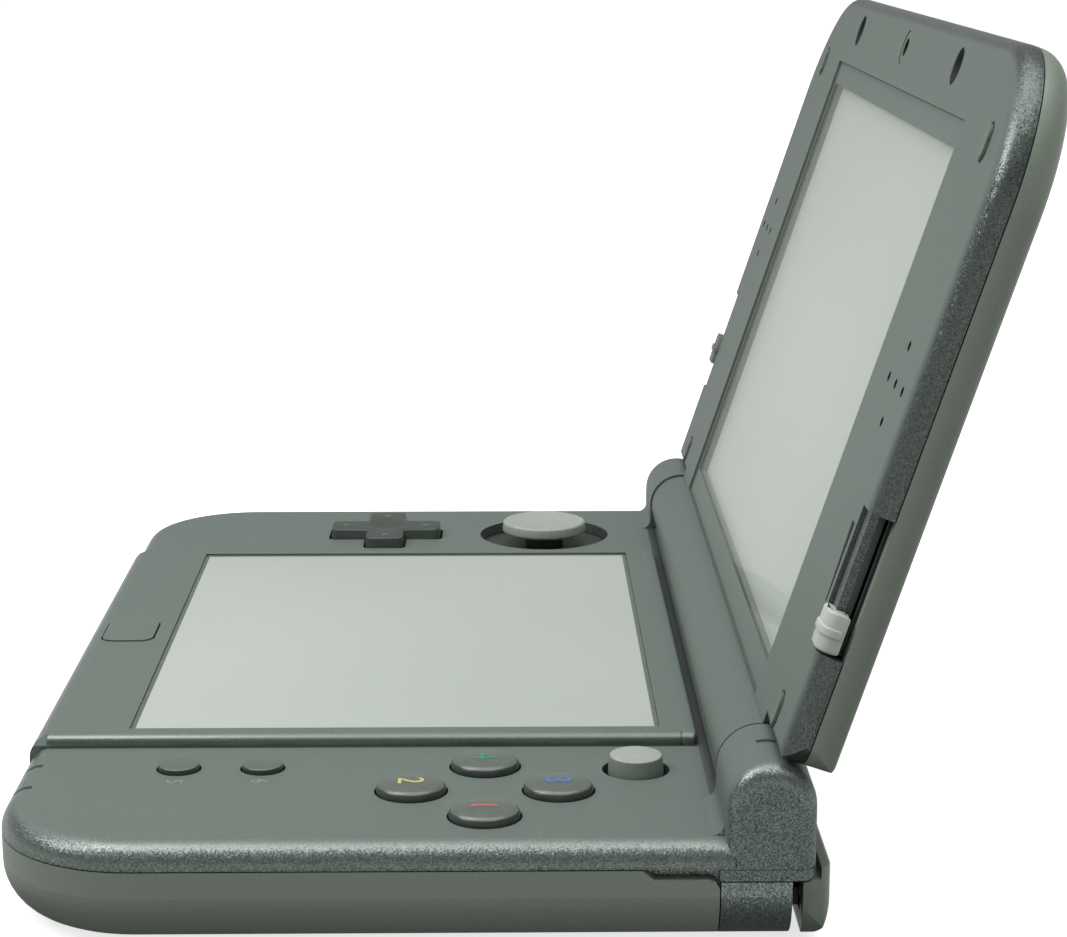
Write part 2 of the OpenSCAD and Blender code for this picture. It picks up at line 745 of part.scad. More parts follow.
module control_board() color(board_colour) difference() {
    block(-77, -30, front_y + 16, front_y + 78, board_z, board_top_z);
    at_front(post_places[2][0], post_places[2][1]) cylinder(h = 20, r = post_r + 0.4);
}

module wireless_board() color([0.16, 0.22, 0.40]) {
    block(-46, -31, front_y + 17, front_y + 33, board_top_z + inner_gap / 2, board_top_z + 1.2);
    block(-44, -36, front_y + 19, front_y + 27, board_top_z + 1.19, board_top_z + 1.7);
}

module card_reader() color(steel_colour) difference() {
    block(card_x - card_w / 2 - 0.5, card_x + card_w / 2 + 0.5, port_back_y, front_y + card_d + 5,
        card_z0 - card_sheet, card_z0 + card_h + card_sheet);
    block(card_x - card_w / 2, card_x + card_w / 2, front_y, front_y + card_d + 3, card_z0, card_z0 + card_h);
    // Windows pressed out of the sheet for its springs
    for (x = [-10, 10]) block(card_x + x - 3, card_x + x + 3, front_y + 14, front_y + 26,
        card_z0 + card_h - over, card_z0 + card_h + over);
}

module headphone_socket() color([0.12, 0.12, 0.13]) difference() {
    union() {
        block(-3.4, 3.4, port_back_y, port_back_y + 10, jack_z - 2.4, jack_z + 2.4);
        along_y(front_y + 0.25, port_back_y + 0.1) translate([0, jack_z]) circle(jack_ring_r);
    }
    along_y(front_y, port_back_y + 9) translate([0, jack_z]) circle(jack_r);
}

module charging_socket() color(steel_colour) difference() {
    along_y(room_rear_y - 4.5, rear_wall_y - 0.3) translate([charge_x, port_z]) soft_square(charge_w, charge_h, 0.6);
    along_y(room_rear_y - 3.7, rear_wall_y + over)
        translate([charge_x, port_z]) soft_square(charge_w - 0.6, charge_h - 0.6, 0.4);
}

module infrared_window() color([0.10, 0.05, 0.06]) {
    along_y(rear_wall_y - 0.75, rear_wall_y - 0.05) translate([0, port_z]) soft_square(16, 4.4, 1);
    along_y(room_rear_y, rear_wall_y - 0.7) translate([0, port_z]) soft_square(12, 2.4, 0.5);
}

module lower_screen() color([0.72, 0.74, 0.73]) difference() {
    translate([0, lower_screen_y, screen_top_z - screen_t]) linear_extrude(screen_t)
        soft_square(lower_screen_w, lower_screen_d, 0.8);
    translate([0, lower_screen_y, screen_top_z + over - 0.2]) cube([84.96, 63.72, 2 * over], center = true);
}

module touch_panel() color([0.62, 0.64, 0.61])
    translate([0, lower_screen_y, 0]) along_z(screen_top_z + inner_gap / 2, touch_face_z)
        soft_square(lower_window_w - 0.3, lower_window_d - 0.3, 0.4);

// Rubber mats with one dome under each button
module dome(x, d, r, top_z) {
    at_front(x, d) rotate_extrude() polygon([[0, mat_z], [r, mat_z], [r - 0.7, top_z], [0, top_z]]);
}

module right_membrane() color(rubber_colour) {
    at_front(action_x, action_y) along_z(mat_z, mat_z + 0.4) cross(2 * action_step + 9, 10);
    for (p = action_places()) dome(p[0], p[1], 3.6, flange_z - action_travel - inner_gap);
    block(small_x - 3.4, small_x + 3.4, front_y + small_y - 4, front_y + small_y + small_step + 4,
        mat_z, mat_z + 0.4);
    for (i = [0, 1]) dome(small_x, small_y + i * small_step, 2.2, flange_z - action_travel - inner_gap);
    block(small_x + 1, action_x - 4.4, front_y + small_y + small_step + 3.5, front_y + action_y - action_step - 2,
        mat_z, mat_z + 0.4);
}

module home_membrane() color(rubber_colour) {
    block(-6.5, 6.5, front_y + home_y - 0.9, front_y + home_y + 4.2, mat_z, mat_z + 0.5);
    dome(0, home_y + 1.6, 2.4, flange_z - home_travel - inner_gap);
}

module dpad_membrane() color(rubber_colour) {
    at_front(-left_x, dpad_y) along_z(mat_z, mat_z + 0.45) soft_square(19, 19, 3);
    for (turn = [0:90:270]) at_front(-left_x, dpad_y) rotate(turn) translate([6.2, 0, 0])
        rotate_extrude() polygon([[0, mat_z], [2, mat_z], [1.6, mat_z + 0.85], [0, mat_z + 0.85]]);
}

// Action buttons, small buttons, home and power
module action_button(i) color(button_colour)
    at_front(action_places()[i][0], action_places()[i][1])
        round_button(action_r, deck_z + action_rise, action_r + flange_rim);

module button_right() action_button(0);
module button_bottom() action_button(1);
module button_top() action_button(2);
module button_left() action_button(3);

module small_button(i) color(button_colour)
    at_front(small_x, small_y + i * small_step) round_button(small_r, deck_z + small_rise, small_r + flange_rim);

module small_button_front() small_button(0);
module small_button_rear() small_button(1);

module home_button() color(button_colour) at_front(0, home_y) {
    along_z(flange_z, plateau_z + 0.15) soft_square(home_w, home_d, 1.8);
    along_z(flange_z, flange_z + flange_t) soft_square(home_w + 1.2, home_d - 0.2, 1.8);
}

module power_button() color(button_colour) {
    along_y(front_y + 0.05, inner_front_y + 0.4) translate([power_x, power_z])
        soft_square(power_w, power_h, power_h / 2 - 0.1);
    along_y(inner_front_y + 0.3, inner_front_y + 0.9) translate([power_x, power_z])
        soft_square(power_w + 1.6, power_h + 1.2, 1.2);
}

module dpad() color(button_colour) at_front(-left_x, dpad_y) difference() {
    union() {
        along_z(dpad_flange_z + 0.1, deck_z + dpad_rise) cross(dpad_span, dpad_arm);
        along_z(dpad_flange_z, dpad_flange_z + 0.6) circle(dpad_flange_r);
        along_z(mat_z + 0.6, dpad_flange_z + 0.1) circle(1.3);
    }
    // Shallow dish in the middle and a mark on each arm
    translate([0, 0, deck_z + dpad_rise + 10.5 - 0.4]) sphere(10.5, $fn = 90);
}

// Circle pad: the carriage slides across in the housing, and the disc slides up and down on the carriage
module pad_housing() color([0.12, 0.12, 0.13]) at_front(-left_x, pad_y) difference() {
    along_z(mat_z, pad_disc_z - 1.5) soft_square(2 * pad_plate_half + 7, 2 * pad_plate_half, 2);
    block(-pad_plate_half - 4, pad_plate_half + 4, -pad_key_w / 2 - inner_gap, pad_key_w / 2 + inner_gap,
        mat_z + 0.3, pad_disc_z);
}

module pad_carriage() color([0.78, 0.78, 0.76]) at_front(-left_x, pad_y) difference() {
    union() {
        along_z(pad_disc_z - 1.4, pad_disc_z - inner_gap) soft_square(2 * pad_plate_half - 3, 2 * pad_plate_half, 2);
        block(-pad_plate_half + 2, pad_plate_half - 2, -pad_key_w / 2, pad_key_w / 2, mat_z + 0.4, pad_disc_z - 1.3);
    }
    block(-pad_key_w / 2 - inner_gap, pad_key_w / 2 + inner_gap, -pad_plate_half - over, pad_plate_half + over,
        pad_disc_z - 0.8, pad_disc_z + over);
}

module pad_disc() color(button_colour) at_front(-left_x, pad_y) {
    along_z(pad_disc_z, pad_disc_z + pad_disc_t) circle(pad_disc_r);
    block(-pad_key_w / 2, pad_key_w / 2, -pad_plate_half + 3, pad_plate_half - 3, pad_disc_z - 0.7, pad_disc_z + 0.1);
    along_z(pad_disc_z, deck_z + 0.8) circle(3);
}

module pad_cap() color([0.30, 0.32, 0.31]) at_front(-left_x, pad_y) difference() {
    rotate_extrude() difference() {
        translate([0, deck_z + 0.5]) square([pad_r, pad_rise - 0.5]);
        translate([pad_r - 0.6, deck_z + pad_rise - 0.6]) corner_cut(0.6, 1);
        translate([pad_r - 0.5, deck_z + 1]) corner_cut(0.5, -1);
        // Dish in the top, left with a raised rim
        translate([0, deck_z + pad_rise + 17.5]) circle(18.2, $fn = 180);
    }
    translate([0, 0, deck_z]) cylinder(h = 0.9, r = 3 + inner_gap / 2);
}

// Small stick: a post that leans left and right, with a cap that leans to and fro on it
module stick_base() color([0.12, 0.12, 0.13]) at_front(stick_x, stick_y) difference() {
    along_z(mat_z, ceiling_z - inner_gap) soft_square(11, 9, 1);
    cylinder(h = ceiling_z + over, r = 3.9);
}

module stick_post() color(steel_colour) at_front(stick_x, stick_y) {
    along_z(mat_z + 0.15, mat_z + 0.8) circle(3.2);
    along_z(mat_z + 0.7, deck_z) circle(1.2);
}

module stick_cap() color([0.70, 0.72, 0.70]) at_front(stick_x, stick_y) difference() {
    rotate_extrude() difference() {
        union() {
            translate([0, ceiling_z - 1]) square([stick_post_r, 4]);
            translate([0, deck_z - 0.6]) square([stick_r, stick_rise + 0.6]);
        }
        translate([stick_r - 1.1, deck_z + stick_rise - 1.1]) corner_cut(1.1, 1);
    }
    along_z(ceiling_z - 2, deck_z + 0.1) soft_square(2.5, 3.2, 1.2);
}

// Shoulder buttons and triggers, shaped for the right-hand side
module shoulder_outline(lip_z) {
    intersection() {
        union() {
            translate([shoulder_front_y, 0.1]) square([10, shoulder_top_z - 0.1]);
            translate([shoulder_lip_y, 0.1]) square([10, lip_z - 0.1]);
        }
        union() {
            translate([body_d / 2 - bulge_r, bulge_z]) circle(bulge_r, $fn = 180);
            difference() {
                translate([body_d / 2 - bulge_r, bulge_z]) square([bulge_r, lip_z - bulge_z]);
                translate([body_d / 2 - 0.4, lip_z - 0.4]) corner_cut(0.4, 1);
            }
        }
        translate([shoulder_front_y + 1, 1.1]) mirror([1, 0]) difference() {
            translate([-10, -2]) square([11, 12]);
            corner_cut(1, -1);
        }
    }
}

module pivoted_button(x0, x1, corner, lip_z, foot_r) {
    difference() {
        union() {
            intersection() {
                along_x(x0, x1) shoulder_outline(lip_z);
                along_y(bay_y, body_d / 2 + over) difference() {
                    translate([x0, 0]) square([x1 - x0, 20]);
                    translate([x1 - foot_r, 0.1 + foot_r]) corner_cut(foot_r, -1);
                }
                along_z(-over, lip_z + over) difference() {
                    translate([x0, bay_y]) square([x1 - x0, 10]);
                    translate([x1 - corner, body_d / 2 - corner]) corner_cut(corner, 1);
                }
            }
            translate([x0 + pin_inset, pin_y]) along_z(ear_low_z + ear_t + 0.2, shoulder_top_z) circle(pin_boss_r);
        }
        translate([x0 + pin_inset, pin_y, -over]) cylinder(h = 20, r = pin_r + hinge_fit);
        // Room for the lower ear
        block(x0 - over, x0 + pin_inset + ear_half + 0.5, bay_y, pin_y + ear_half + 0.4, -over,
            ear_low_z + ear_t + 0.2);
        // Room for the switch behind the outer end
        block(x1 - 8, x1 - 3, bay_y, shoulder_front_y + 0.35, port_z - 1.4, port_z + 1.4);
    }
}

module shoulder_button()
    pivoted_button(shoulder_inner_x, body_w / 2 - 0.2, shoulder_corner, shoulder_lip_z, bottom_round - 0.8);

module trigger_button() pivoted_button(trigger_inner_x, trigger_outer_x, 1, shoulder_top_z, 0.8);

module shoulder_right() color(button_colour) shoulder_button();
module shoulder_left() color(button_colour) mirror([1, 0, 0]) shoulder_button();
module trigger_right() color(button_colour) trigger_button();
module trigger_left() color(button_colour) mirror([1, 0, 0]) trigger_button();

module trigger_pins() color(steel_colour) both() for (x = [shoulder_inner_x, trigger_inner_x])
    translate([x + pin_inset, pin_y, ear_low_z + 0.1]) cylinder(h = skirt_z + 1.6 - ear_low_z, r = pin_r);

module trigger_switches() color(rubber_colour) both() for (x = [body_w / 2 - 0.2, trigger_outer_x])
    block(x - 7.2, x - 3.8, bay_y + 0.02, bay_y + 1.1, port_z - 1, port_z + 1);

// Stylus, along its channel with the head at the front edge
module stylus() color([0.22, 0.24, 0.23]) translate([stylus_x, front_y + 0.2, stylus_z]) rotate([-90, 0, 0])
    rotate_extrude() difference() {
        union() {
            square([stylus_r, stylus_l - 7]);
            polygon([[0, stylus_l - 8], [stylus_r, stylus_l - 8], [0.7, stylus_l - 0.8], [0, stylus_l - 0.3]]);
            translate([0, stylus_l - 1]) circle(0.72);
        }
        translate([-over, -over]) square([over, stylus_l + 2 * over]);
        // Groove for a fingertip
        translate([stylus_r + 0.5, 4]) circle(0.9);
        translate([stylus_r - 0.5, 0.5]) corner_cut(0.5, -1);
    }

// Hinge
module along_hinge(x, length, r) {
    translate([x, hinge_y, hinge_z]) rotate([0, 90, 0]) cylinder(h = length, r = r);
}

module hinge_bush() color([0.30, 0.30, 0.31]) difference() {
    along_hinge(0.5 - knuckle_x - 13.7, bush_l, bush_r);
    along_hinge(-knuckle_x - 20, 40, bush_bore_r);
}

module hinge_unit() color(steel_colour) difference() {
    along_hinge(knuckle_x + 0.1, unit_l, unit_r);
    along_hinge(knuckle_x, shaft_out + 0.5, shaft_r + hinge_fit);
}

module hinge_shaft() color(steel_colour) {
    along_hinge(knuckle_x - 1, shaft_out + 1, shaft_r);
    // Enlarged end in the lid's barrel, with two flats that turn the barrel
    on_lid() translate([neck_half - 0.3 - shaft_in, 0, 0]) rotate([0, 90, 0]) difference() {
        cylinder(h = shaft_in, r = socket_r);
        for (side = [0, 1]) mirror([side, 0, 0]) translate([socket_flat, -socket_r, -over])
            cube([over, 2 * socket_r, shaft_in - 1.5 + over]);
    }
}

// Ribbon cable: rolled up in the left end of the barrel, then led into the lid and under its screen
module display_cable() color([0.55, 0.40, 0.15]) on_lid() {
    rotate([0, 90, 0]) translate([0, 0, cable_x - cable_w - cable_roll_l])
        cylinder(h = cable_roll_l + cable_w, r = cable_r);
    block(cable_x - cable_w, cable_x, 0, cable_turn_y, cable_z - ribbon_t / 2, cable_z + ribbon_t / 2);
    block(cable_x - cable_w, cable_x, cable_turn_y - ribbon_t, cable_turn_y, cable_low_z, cable_z + ribbon_t / 2);
    block(cable_x - cable_w, cable_x, cable_turn_y - ribbon_t, cable_turn_y + 14, cable_low_z, cable_low_z + ribbon_t);
}

// Lid shells
module lid_bezel() color(shell_colour) on_lid() difference() {
    union() {
        soft_slab(body_w, lid_foot, lid_reach, bezel_low, lid_face, 0, lid_corner, 0, bezel_round);
        along_x(-neck_half, neck_half) {
            translate([0, bezel_low]) square([lid_foot + 2, lid_face - bezel_low]);
            circle(barrel_r);
        }
    }
    difference() {
        lid_room(bezel_low - over, lid_ceiling);
        for (x = [left, right], y = bumper_rows)
            translate([x * bumper_x, y, lid_ceiling]) cube([4.4, 4.4, 4], center = true);
    }
    // Bed of the glass plate and window of the screen
    block(-glass_w / 2, glass_w / 2, glass_low, glass_high, glass_bed, lid_face + over);
    translate([0, upper_window_y, 0]) cube([upper_window_w + 0.6, upper_window_h + 0.6, 8], center = true);
    lid_holes();
    slider_slot();
    mirror([1, 0, 0]) slider_slot();
    barrel_bores();
    foot_corners();
    // Rounded inner edge beside the hinge
    both() along_x(neck_half, body_w / 2 + over)
        translate([lid_foot + foot_round, lid_face - foot_round]) mirror([1, 0]) corner_cut(foot_round, 1);
}

module lid_room(z0, z1) {
    y0 = lid_foot + lid_side;
    y1 = lid_reach - lid_side;
    translate([0, (y0 + y1) / 2, z0]) linear_extrude(z1 - z0) intersection() {
        translate([0, (y0 - y1) / 2]) soft_square(body_w - 2 * lid_side, 2 * (y1 - y0), lid_corner - lid_side);
        square([body_w, y1 - y0], center = true);
    }
}

module lid_holes() {
    for (x = [left, right]) translate([x * speaker_x, speaker_y, lid_ceiling - over]) {
        for (i = [-1:1]) translate([i * speaker_pitch_x, 0, 0]) cylinder(h = 4, r = speaker_hole_r);
        for (i = [-1, 1]) translate([0, i * speaker_pitch_y, 0]) cylinder(h = 4, r = speaker_hole_r);
    }
    for (x = [lens_x, emitter_x, light_x])
        translate([x, top_row_y, lid_ceiling - over]) cylinder(h = 4, r = sensor_r + 0.1);
    for (x = [left, right], y = bumper_rows) translate([x * bumper_x, y, 0]) {
        along_z(lid_face - bumper_depth, lid_face + over) bumper_outline(0.1);
        translate([0, 0, lid_ceiling - 3]) cylinder(h = 4, r = lid_screw_r + 0.1);
        translate([0, 0, lid_face - bumper_depth - 1]) cylinder(h = over + 0.1, r = lid_head_r + 0.1);
    }
}

module bumper_outline(grow) {
    soft_square(bumper_w + 2 * grow, bumper_l + 2 * grow, bumper_w / 2 + grow - 0.05);
}

// Open notch in the lid's edge: a shelf on the inside and a deep channel on the outside
module slider_slot() {
    block(slot_shelf_x, body_w, slot_low_y, slot_high_y, slot_shelf_z, lid_face + over);
    block(slot_channel_x, body_w, slot_low_y, slot_high_y, bezel_low - over, lid_face + over);
}

module barrel_bores() {
    translate([neck_half - shaft_in - 0.6, 0, 0]) rotate([0, 90, 0]) {
        intersection() {
            cylinder(h = shaft_in + over, r = socket_r + 0.05);
            translate([0, 0, shaft_in / 2]) cube([2 * socket_flat + 0.1, 8, shaft_in + 2 * over], center = true);
        }
        translate([0, 0, shaft_in - 1.3]) cylinder(h = over + 1.4, r = socket_r + 0.05);
    }
    translate([-neck_half - over, 0, 0]) rotate([0, 90, 0])
        cylinder(h = bush_l - 13 + over, r = bush_r + hinge_fit);
    translate([-neck_half - over, 0, 0]) rotate([0, 90, 0]) cylinder(h = 19, r = cable_r + 0.15);
    block(cable_x - cable_w - 0.3, cable_x + 0.3, 0, lid_foot + lid_side + 0.1, bezel_low - 0.3,
        cable_z + 0.25);
}

module lid_cover() color(cover_colour) on_lid() difference() {
    union() {
        difference() {
            union() {
                soft_slab(body_w, lid_foot, lid_reach, -lid_back, cover_high, 0, lid_corner, lid_round, 0);
                along_x(-neck_half, neck_half) difference() {
                    translate([neck_start, -lid_back]) square([lid_foot + 2 - neck_start, lid_back + cover_high]);
                    translate([neck_start + 1.2, 1.2 - lid_back]) mirror([1, 0]) corner_cut(1.2, -1);
                    circle(barrel_r + seam);
                }
            }
            lid_room(lid_floor, cover_high + over);
        }
        for (x = [left, right], y = bumper_rows) translate([x * bumper_x, y, lid_floor - 0.1])
            cylinder(h = lid_ceiling - 2 - lid_floor, r = 2);
    }
    for (x = [left, right], y = bumper_rows)
        translate([x * bumper_x, y, lid_floor + 0.4]) cylinder(h = 6, r = lid_screw_r + 0.03);
    for (x = [left, right])
        translate([x * outer_camera_x, outer_camera_y, -lid_back - over]) cylinder(h = 4, r = outer_camera_r + 0.1);
    foot_corners();
    // Rounded back edge beside the hinge
    both() along_x(neck_half, body_w / 2 + over)
        translate([lid_foot + foot_round, foot_round - lid_back]) mirror([1, 0]) corner_cut(foot_round, -1);
}

// Small round corners of the lid beside the hinge
module foot_corners() {
    both() translate([body_w / 2 - lid_foot_corner, lid_foot + lid_foot_corner, -lid_back - over])
        linear_extrude(lid_back + lid_face + 2 * over) corner_cut(lid_foot_corner, -1);
}

module lid_screws() color(steel_colour) on_lid() for (x = [left, right], y = bumper_rows)
    translate([x * bumper_x, y, lid_face - bumper_depth - 0.05]) rotate([180, 0, 0])
        countersunk_screw(4.2, lid_screw_r, lid_head_r, 0.8);

module glass_plate() color([0.60, 0.63, 0.62, 0.6]) on_lid()
    translate([0, (glass_low + glass_high) / 2, glass_bed + 0.02]) linear_extrude(glass_t - 0.02)
        soft_square(glass_w - 0.2, glass_high - glass_low - 0.2, 0.5);

module upper_screen() color([0.72, 0.74, 0.73]) on_lid()
    translate([0, upper_window_y, lid_ceiling - 0.05 - upper_screen_t]) linear_extrude(upper_screen_t)
        soft_square(upper_screen_w, upper_screen_h, 0.8);

module lid_board() color(board_colour) on_lid() {
    block(-52, 52, glass_high + 1.2, lid_reach - lid_side - 0.6, lid_ceiling - 2.9, lid_ceiling - 2.1);
}

module inner_camera() color([0.08, 0.08, 0.09]) on_lid() translate([lens_x, top_row_y, 0]) {
    translate([-3.2, -3, lid_ceiling - 2]) cube([6.4, 5.6, 1.95]);
    rotate_extrude() difference() {
        translate([0, lid_ceiling - 0.1]) square([sensor_r, lid_plate - 0.1]);
        translate([0, lid_face + 1.6]) circle(2.2, $fn = 96);
    }
}

module sensor_windows() color([0.10, 0.09, 0.11]) on_lid() for (x = [emitter_x, light_x]) translate([x, top_row_y, 0]) {
    translate([-2.6, -2.6, lid_ceiling - 1.4]) cube([5.2, 5.2, 1.35]);
    translate([0, 0, lid_ceiling - 0.1]) cylinder(h = lid_plate - 0.05, r = sensor_r);
}

module outer_cameras() color([0.08, 0.08, 0.09]) on_lid() for (x = [left, right])
    translate([x * outer_camera_x, outer_camera_y, 0]) {
        translate([-3.5, -3.5, lid_floor + 0.1]) cube([7, 7, 0.6]);
        translate([0, 0, 0.15 - lid_back]) rotate_extrude() difference() {
            square([outer_camera_r, lid_wall]);
            translate([0, -2.6]) circle(3.2, $fn = 96);
        }
    }

module speakers() color([0.14, 0.14, 0.15]) on_lid() for (x = [left, right])
    translate([x * speaker_x, speaker_y, lid_ceiling - 0.05 - 1.2]) difference() {
        translate([0, 0, -1.6]) linear_extrude(2.75) soft_square(12.4, 17, 2);
        translate([0, 0, 0.4]) cylinder(h = 2, r = 5.2);
    }

module slider_boards() color(board_colour) on_lid() both()
    block(slot_shelf_x - 7, body_w / 2 - lid_side - 0.2, slot_low_y - 2, slot_high_y + 2,
        bezel_low - 0.75, bezel_low - 0.05);

// Knob of a lid slider: a cap over the shelf, a web down the channel, a foot under the shelf and a rib across
module slider_knob(low_y) {
    foot_top_z = lid_ceiling - 0.15;
    cap_low_z = slot_shelf_z + 0.15;
    knob_x0 = slot_shelf_x + 0.2;
    knob_x1 = body_w / 2 - 0.2;
    along_y(low_y, low_y + knob_l) difference() {
        translate([knob_x0, knob_low_z]) square([knob_x1 - knob_x0, knob_top_z - knob_low_z]);
        translate([knob_x0 - over, foot_top_z])
            square([slot_channel_x + 0.15 - knob_x0 + over, cap_low_z - foot_top_z]);
        translate([knob_x0 + 0.6, knob_top_z - 0.6]) mirror([1, 0]) corner_cut(0.6, 1);
        translate([knob_x1 - 0.6, knob_top_z - 0.6]) corner_cut(0.6, 1);
    }
    along_y(low_y, low_y + knob_l) translate([knob_x0 - 2, knob_low_z]) square([3, foot_top_z - knob_low_z]);
    along_y(low_y + knob_l / 2 - 0.45, low_y + knob_l / 2 + 0.45) difference() {
        translate([knob_x0 - 0.1, cap_low_z]) square([knob_x1 - knob_x0 + 0.2, knob_top_z + 0.25 - cap_low_z]);
        translate([knob_x1 - 0.5, knob_top_z - 0.35]) corner_cut(0.6, 1);
        translate([knob_x0 + 0.5, knob_top_z - 0.35]) mirror([1, 0]) corner_cut(0.6, 1);
    }
}

module depth_slider() color([0.78, 0.80, 0.78]) on_lid() slider_knob(knob_start_y);

module volume_slider() color(shell_colour) on_lid() mirror([1, 0, 0]) slider_knob(volume_start_y);

module lid_bumpers() color(rubber_colour) on_lid() for (x = [left, right], y = bumper_rows)
    translate([x * bumper_x, y, 0]) {
        along_z(lid_face - bumper_depth + 0.02, lid_face + bumper_proud - 0.15) bumper_outline(0);
        along_z(lid_face, lid_face + bumper_proud) bumper_outline(-0.15);
    }

bottom_cover();
lower_case();
deck_shell();
cover_screws();
case_screws();
battery();
main_board();
control_board();
wireless_board();
card_reader();
headphone_socket();
charging_socket();
infrared_window();
indicator_windows();
lower_screen();
touch_panel();
right_membrane();
home_membrane();
dpad_membrane();
button_right();
button_bottom();
button_top();
button_left();
small_button_front();
small_button_rear();
home_button();
power_button();
dpad();
pad_housing();
pad_carriage();
pad_disc();
pad_cap();
stick_base();
stick_post();
stick_cap();
shoulder_left();
shoulder_right();
trigger_left();
trigger_right();
trigger_pins();
trigger_switches();
stylus();
hinge_bush();
hinge_unit();
hinge_shaft();
lid_bezel();
lid_cover();
glass_plate();
upper_screen();
lid_screws();
lid_board();
display_cable();
inner_camera();
outer_cameras();
sensor_windows();
speakers();
slider_boards();
depth_slider();
volume_slider();
lid_bumpers();
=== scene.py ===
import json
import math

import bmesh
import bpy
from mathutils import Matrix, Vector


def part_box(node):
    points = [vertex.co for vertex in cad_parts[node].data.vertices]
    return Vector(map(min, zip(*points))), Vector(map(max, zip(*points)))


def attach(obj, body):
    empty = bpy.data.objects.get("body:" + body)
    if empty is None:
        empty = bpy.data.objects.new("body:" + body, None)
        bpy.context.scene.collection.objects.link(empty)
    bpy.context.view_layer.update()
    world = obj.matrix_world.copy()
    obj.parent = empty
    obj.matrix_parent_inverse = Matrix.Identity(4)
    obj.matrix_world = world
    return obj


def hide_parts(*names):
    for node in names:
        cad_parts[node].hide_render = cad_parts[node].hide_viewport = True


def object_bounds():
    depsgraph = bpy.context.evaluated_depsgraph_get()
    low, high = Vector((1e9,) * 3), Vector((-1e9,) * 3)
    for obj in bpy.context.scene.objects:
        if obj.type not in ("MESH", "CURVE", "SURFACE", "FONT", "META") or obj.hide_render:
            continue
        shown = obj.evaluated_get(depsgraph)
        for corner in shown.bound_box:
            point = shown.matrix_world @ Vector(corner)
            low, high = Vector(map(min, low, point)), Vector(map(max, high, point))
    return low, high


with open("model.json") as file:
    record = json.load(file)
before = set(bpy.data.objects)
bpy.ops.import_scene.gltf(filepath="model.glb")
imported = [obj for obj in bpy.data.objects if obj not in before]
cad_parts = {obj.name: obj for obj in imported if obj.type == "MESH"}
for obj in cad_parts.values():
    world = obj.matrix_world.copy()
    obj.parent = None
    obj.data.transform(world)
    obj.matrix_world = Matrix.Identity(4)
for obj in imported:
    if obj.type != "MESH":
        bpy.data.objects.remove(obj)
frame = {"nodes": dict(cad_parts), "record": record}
cad_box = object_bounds()

# %% [markdown]
# # A clamshell handheld console
# The frame brings in every solid of the console, already in its place. This lesson gives each one a finish,
# and makes the pieces that a hand touches or an eye rests on again, with softer edges than the solids have.
# Blender measures in metres, and the console was drawn in millimetres, so sizes are written in millimetres and
# turned into metres once, when a piece is placed.

MM = 0.001
OPEN_ANGLE = 108.4
HINGE = Vector((0, 39.9, 16.0))
LID_TURN = math.radians(180 - OPEN_ANGLE)
UP_THE_LID = Vector((0, math.cos(LID_TURN), math.sin(LID_TURN)))
TO_METRES = Matrix.Scale(MM, 4)
ON_LID = TO_METRES @ Matrix.Translation(HINGE) @ Matrix.Rotation(LID_TURN, 4, "X")
ON_BODY = TO_METRES
DECK_Z = 12.1
PLATEAU_Z = 13.6


def node_box(node):
    low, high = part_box(node)
    return low / MM, high / MM


def middle_of(node):
    low, high = node_box(node)
    return (low + high) / 2


print("hinge axis at", tuple(round(v, 2) for v in HINGE), "mm")

# %% [markdown]
# ## Camera
# The photograph looks at the console's right-hand side from a little above. Its place and lens were worked out
# beforehand from the edges of the screens and the body, so the camera is set by numbers and not by eye.

# %% Camera
PHOTO_W = 1067
FOCAL_PX = 2600.6
PITCH = math.radians(12.39)
YAW = math.radians(0.776)

camera_data = bpy.data.cameras.new("photo_camera")
camera_data.sensor_fit = "HORIZONTAL"
camera_data.sensor_width = 36
camera_data.lens = camera_data.sensor_width * FOCAL_PX / PHOTO_W
camera_data.clip_start = 0.01
camera = bpy.data.objects.new("photo_camera", camera_data)
camera.location = Vector((347.27, 10.25, 112.75)) * MM
looks_along = Vector((
    -math.cos(PITCH) * math.cos(YAW),
    math.cos(PITCH) * math.sin(YAW),
    -math.sin(PITCH),
))
camera.rotation_euler = looks_along.to_track_quat("-Z", "Y").to_euler()
bpy.context.collection.objects.link(camera)
bpy.context.scene.camera = camera
print("lens", round(camera_data.lens, 1), "mm")

# %% [markdown]
# ## Floor and light
# The console stands on a sheet of white acrylic that is lit from below, as on a product photographer's light
# table: it stays white, also under the lid, and hardly throws light back up. So the floor glows a little, and
# only the camera and the shadows see it. A dim tent gives light from all round, a wide softbox above draws the
# bright streaks on the rounded edges, a smaller one in front lights the open lid, and a little one near the lid's
# top keeps it as pale as its foot. The view transform is Standard, so that white stays white.

# %% Floor
floor_mesh = bpy.data.meshes.new("floor")
floor_bm = bmesh.new()
bmesh.ops.create_grid(floor_bm, x_segments=1, y_segments=1, size=6)
floor_bm.to_mesh(floor_mesh)
floor_bm.free()
acrylic = bpy.data.materials.new("white_acrylic")
acrylic.use_nodes = True
acrylic_shader = acrylic.node_tree.nodes["Principled BSDF"]
acrylic_shader.inputs["Base Color"].default_value = (0.80, 0.80, 0.80, 1)
acrylic_shader.inputs["Roughness"].default_value = 0.95
acrylic_shader.inputs["Emission Color"].default_value = (1, 1, 1, 1)
acrylic_shader.inputs["Emission Strength"].default_value = 0.72
floor_mesh.materials.append(acrylic)
floor = bpy.data.objects.new("floor", floor_mesh)
floor.location.z = cad_box[0][2] - 0.0002
floor.visible_diffuse = False
floor.visible_glossy = False
bpy.context.collection.objects.link(floor)

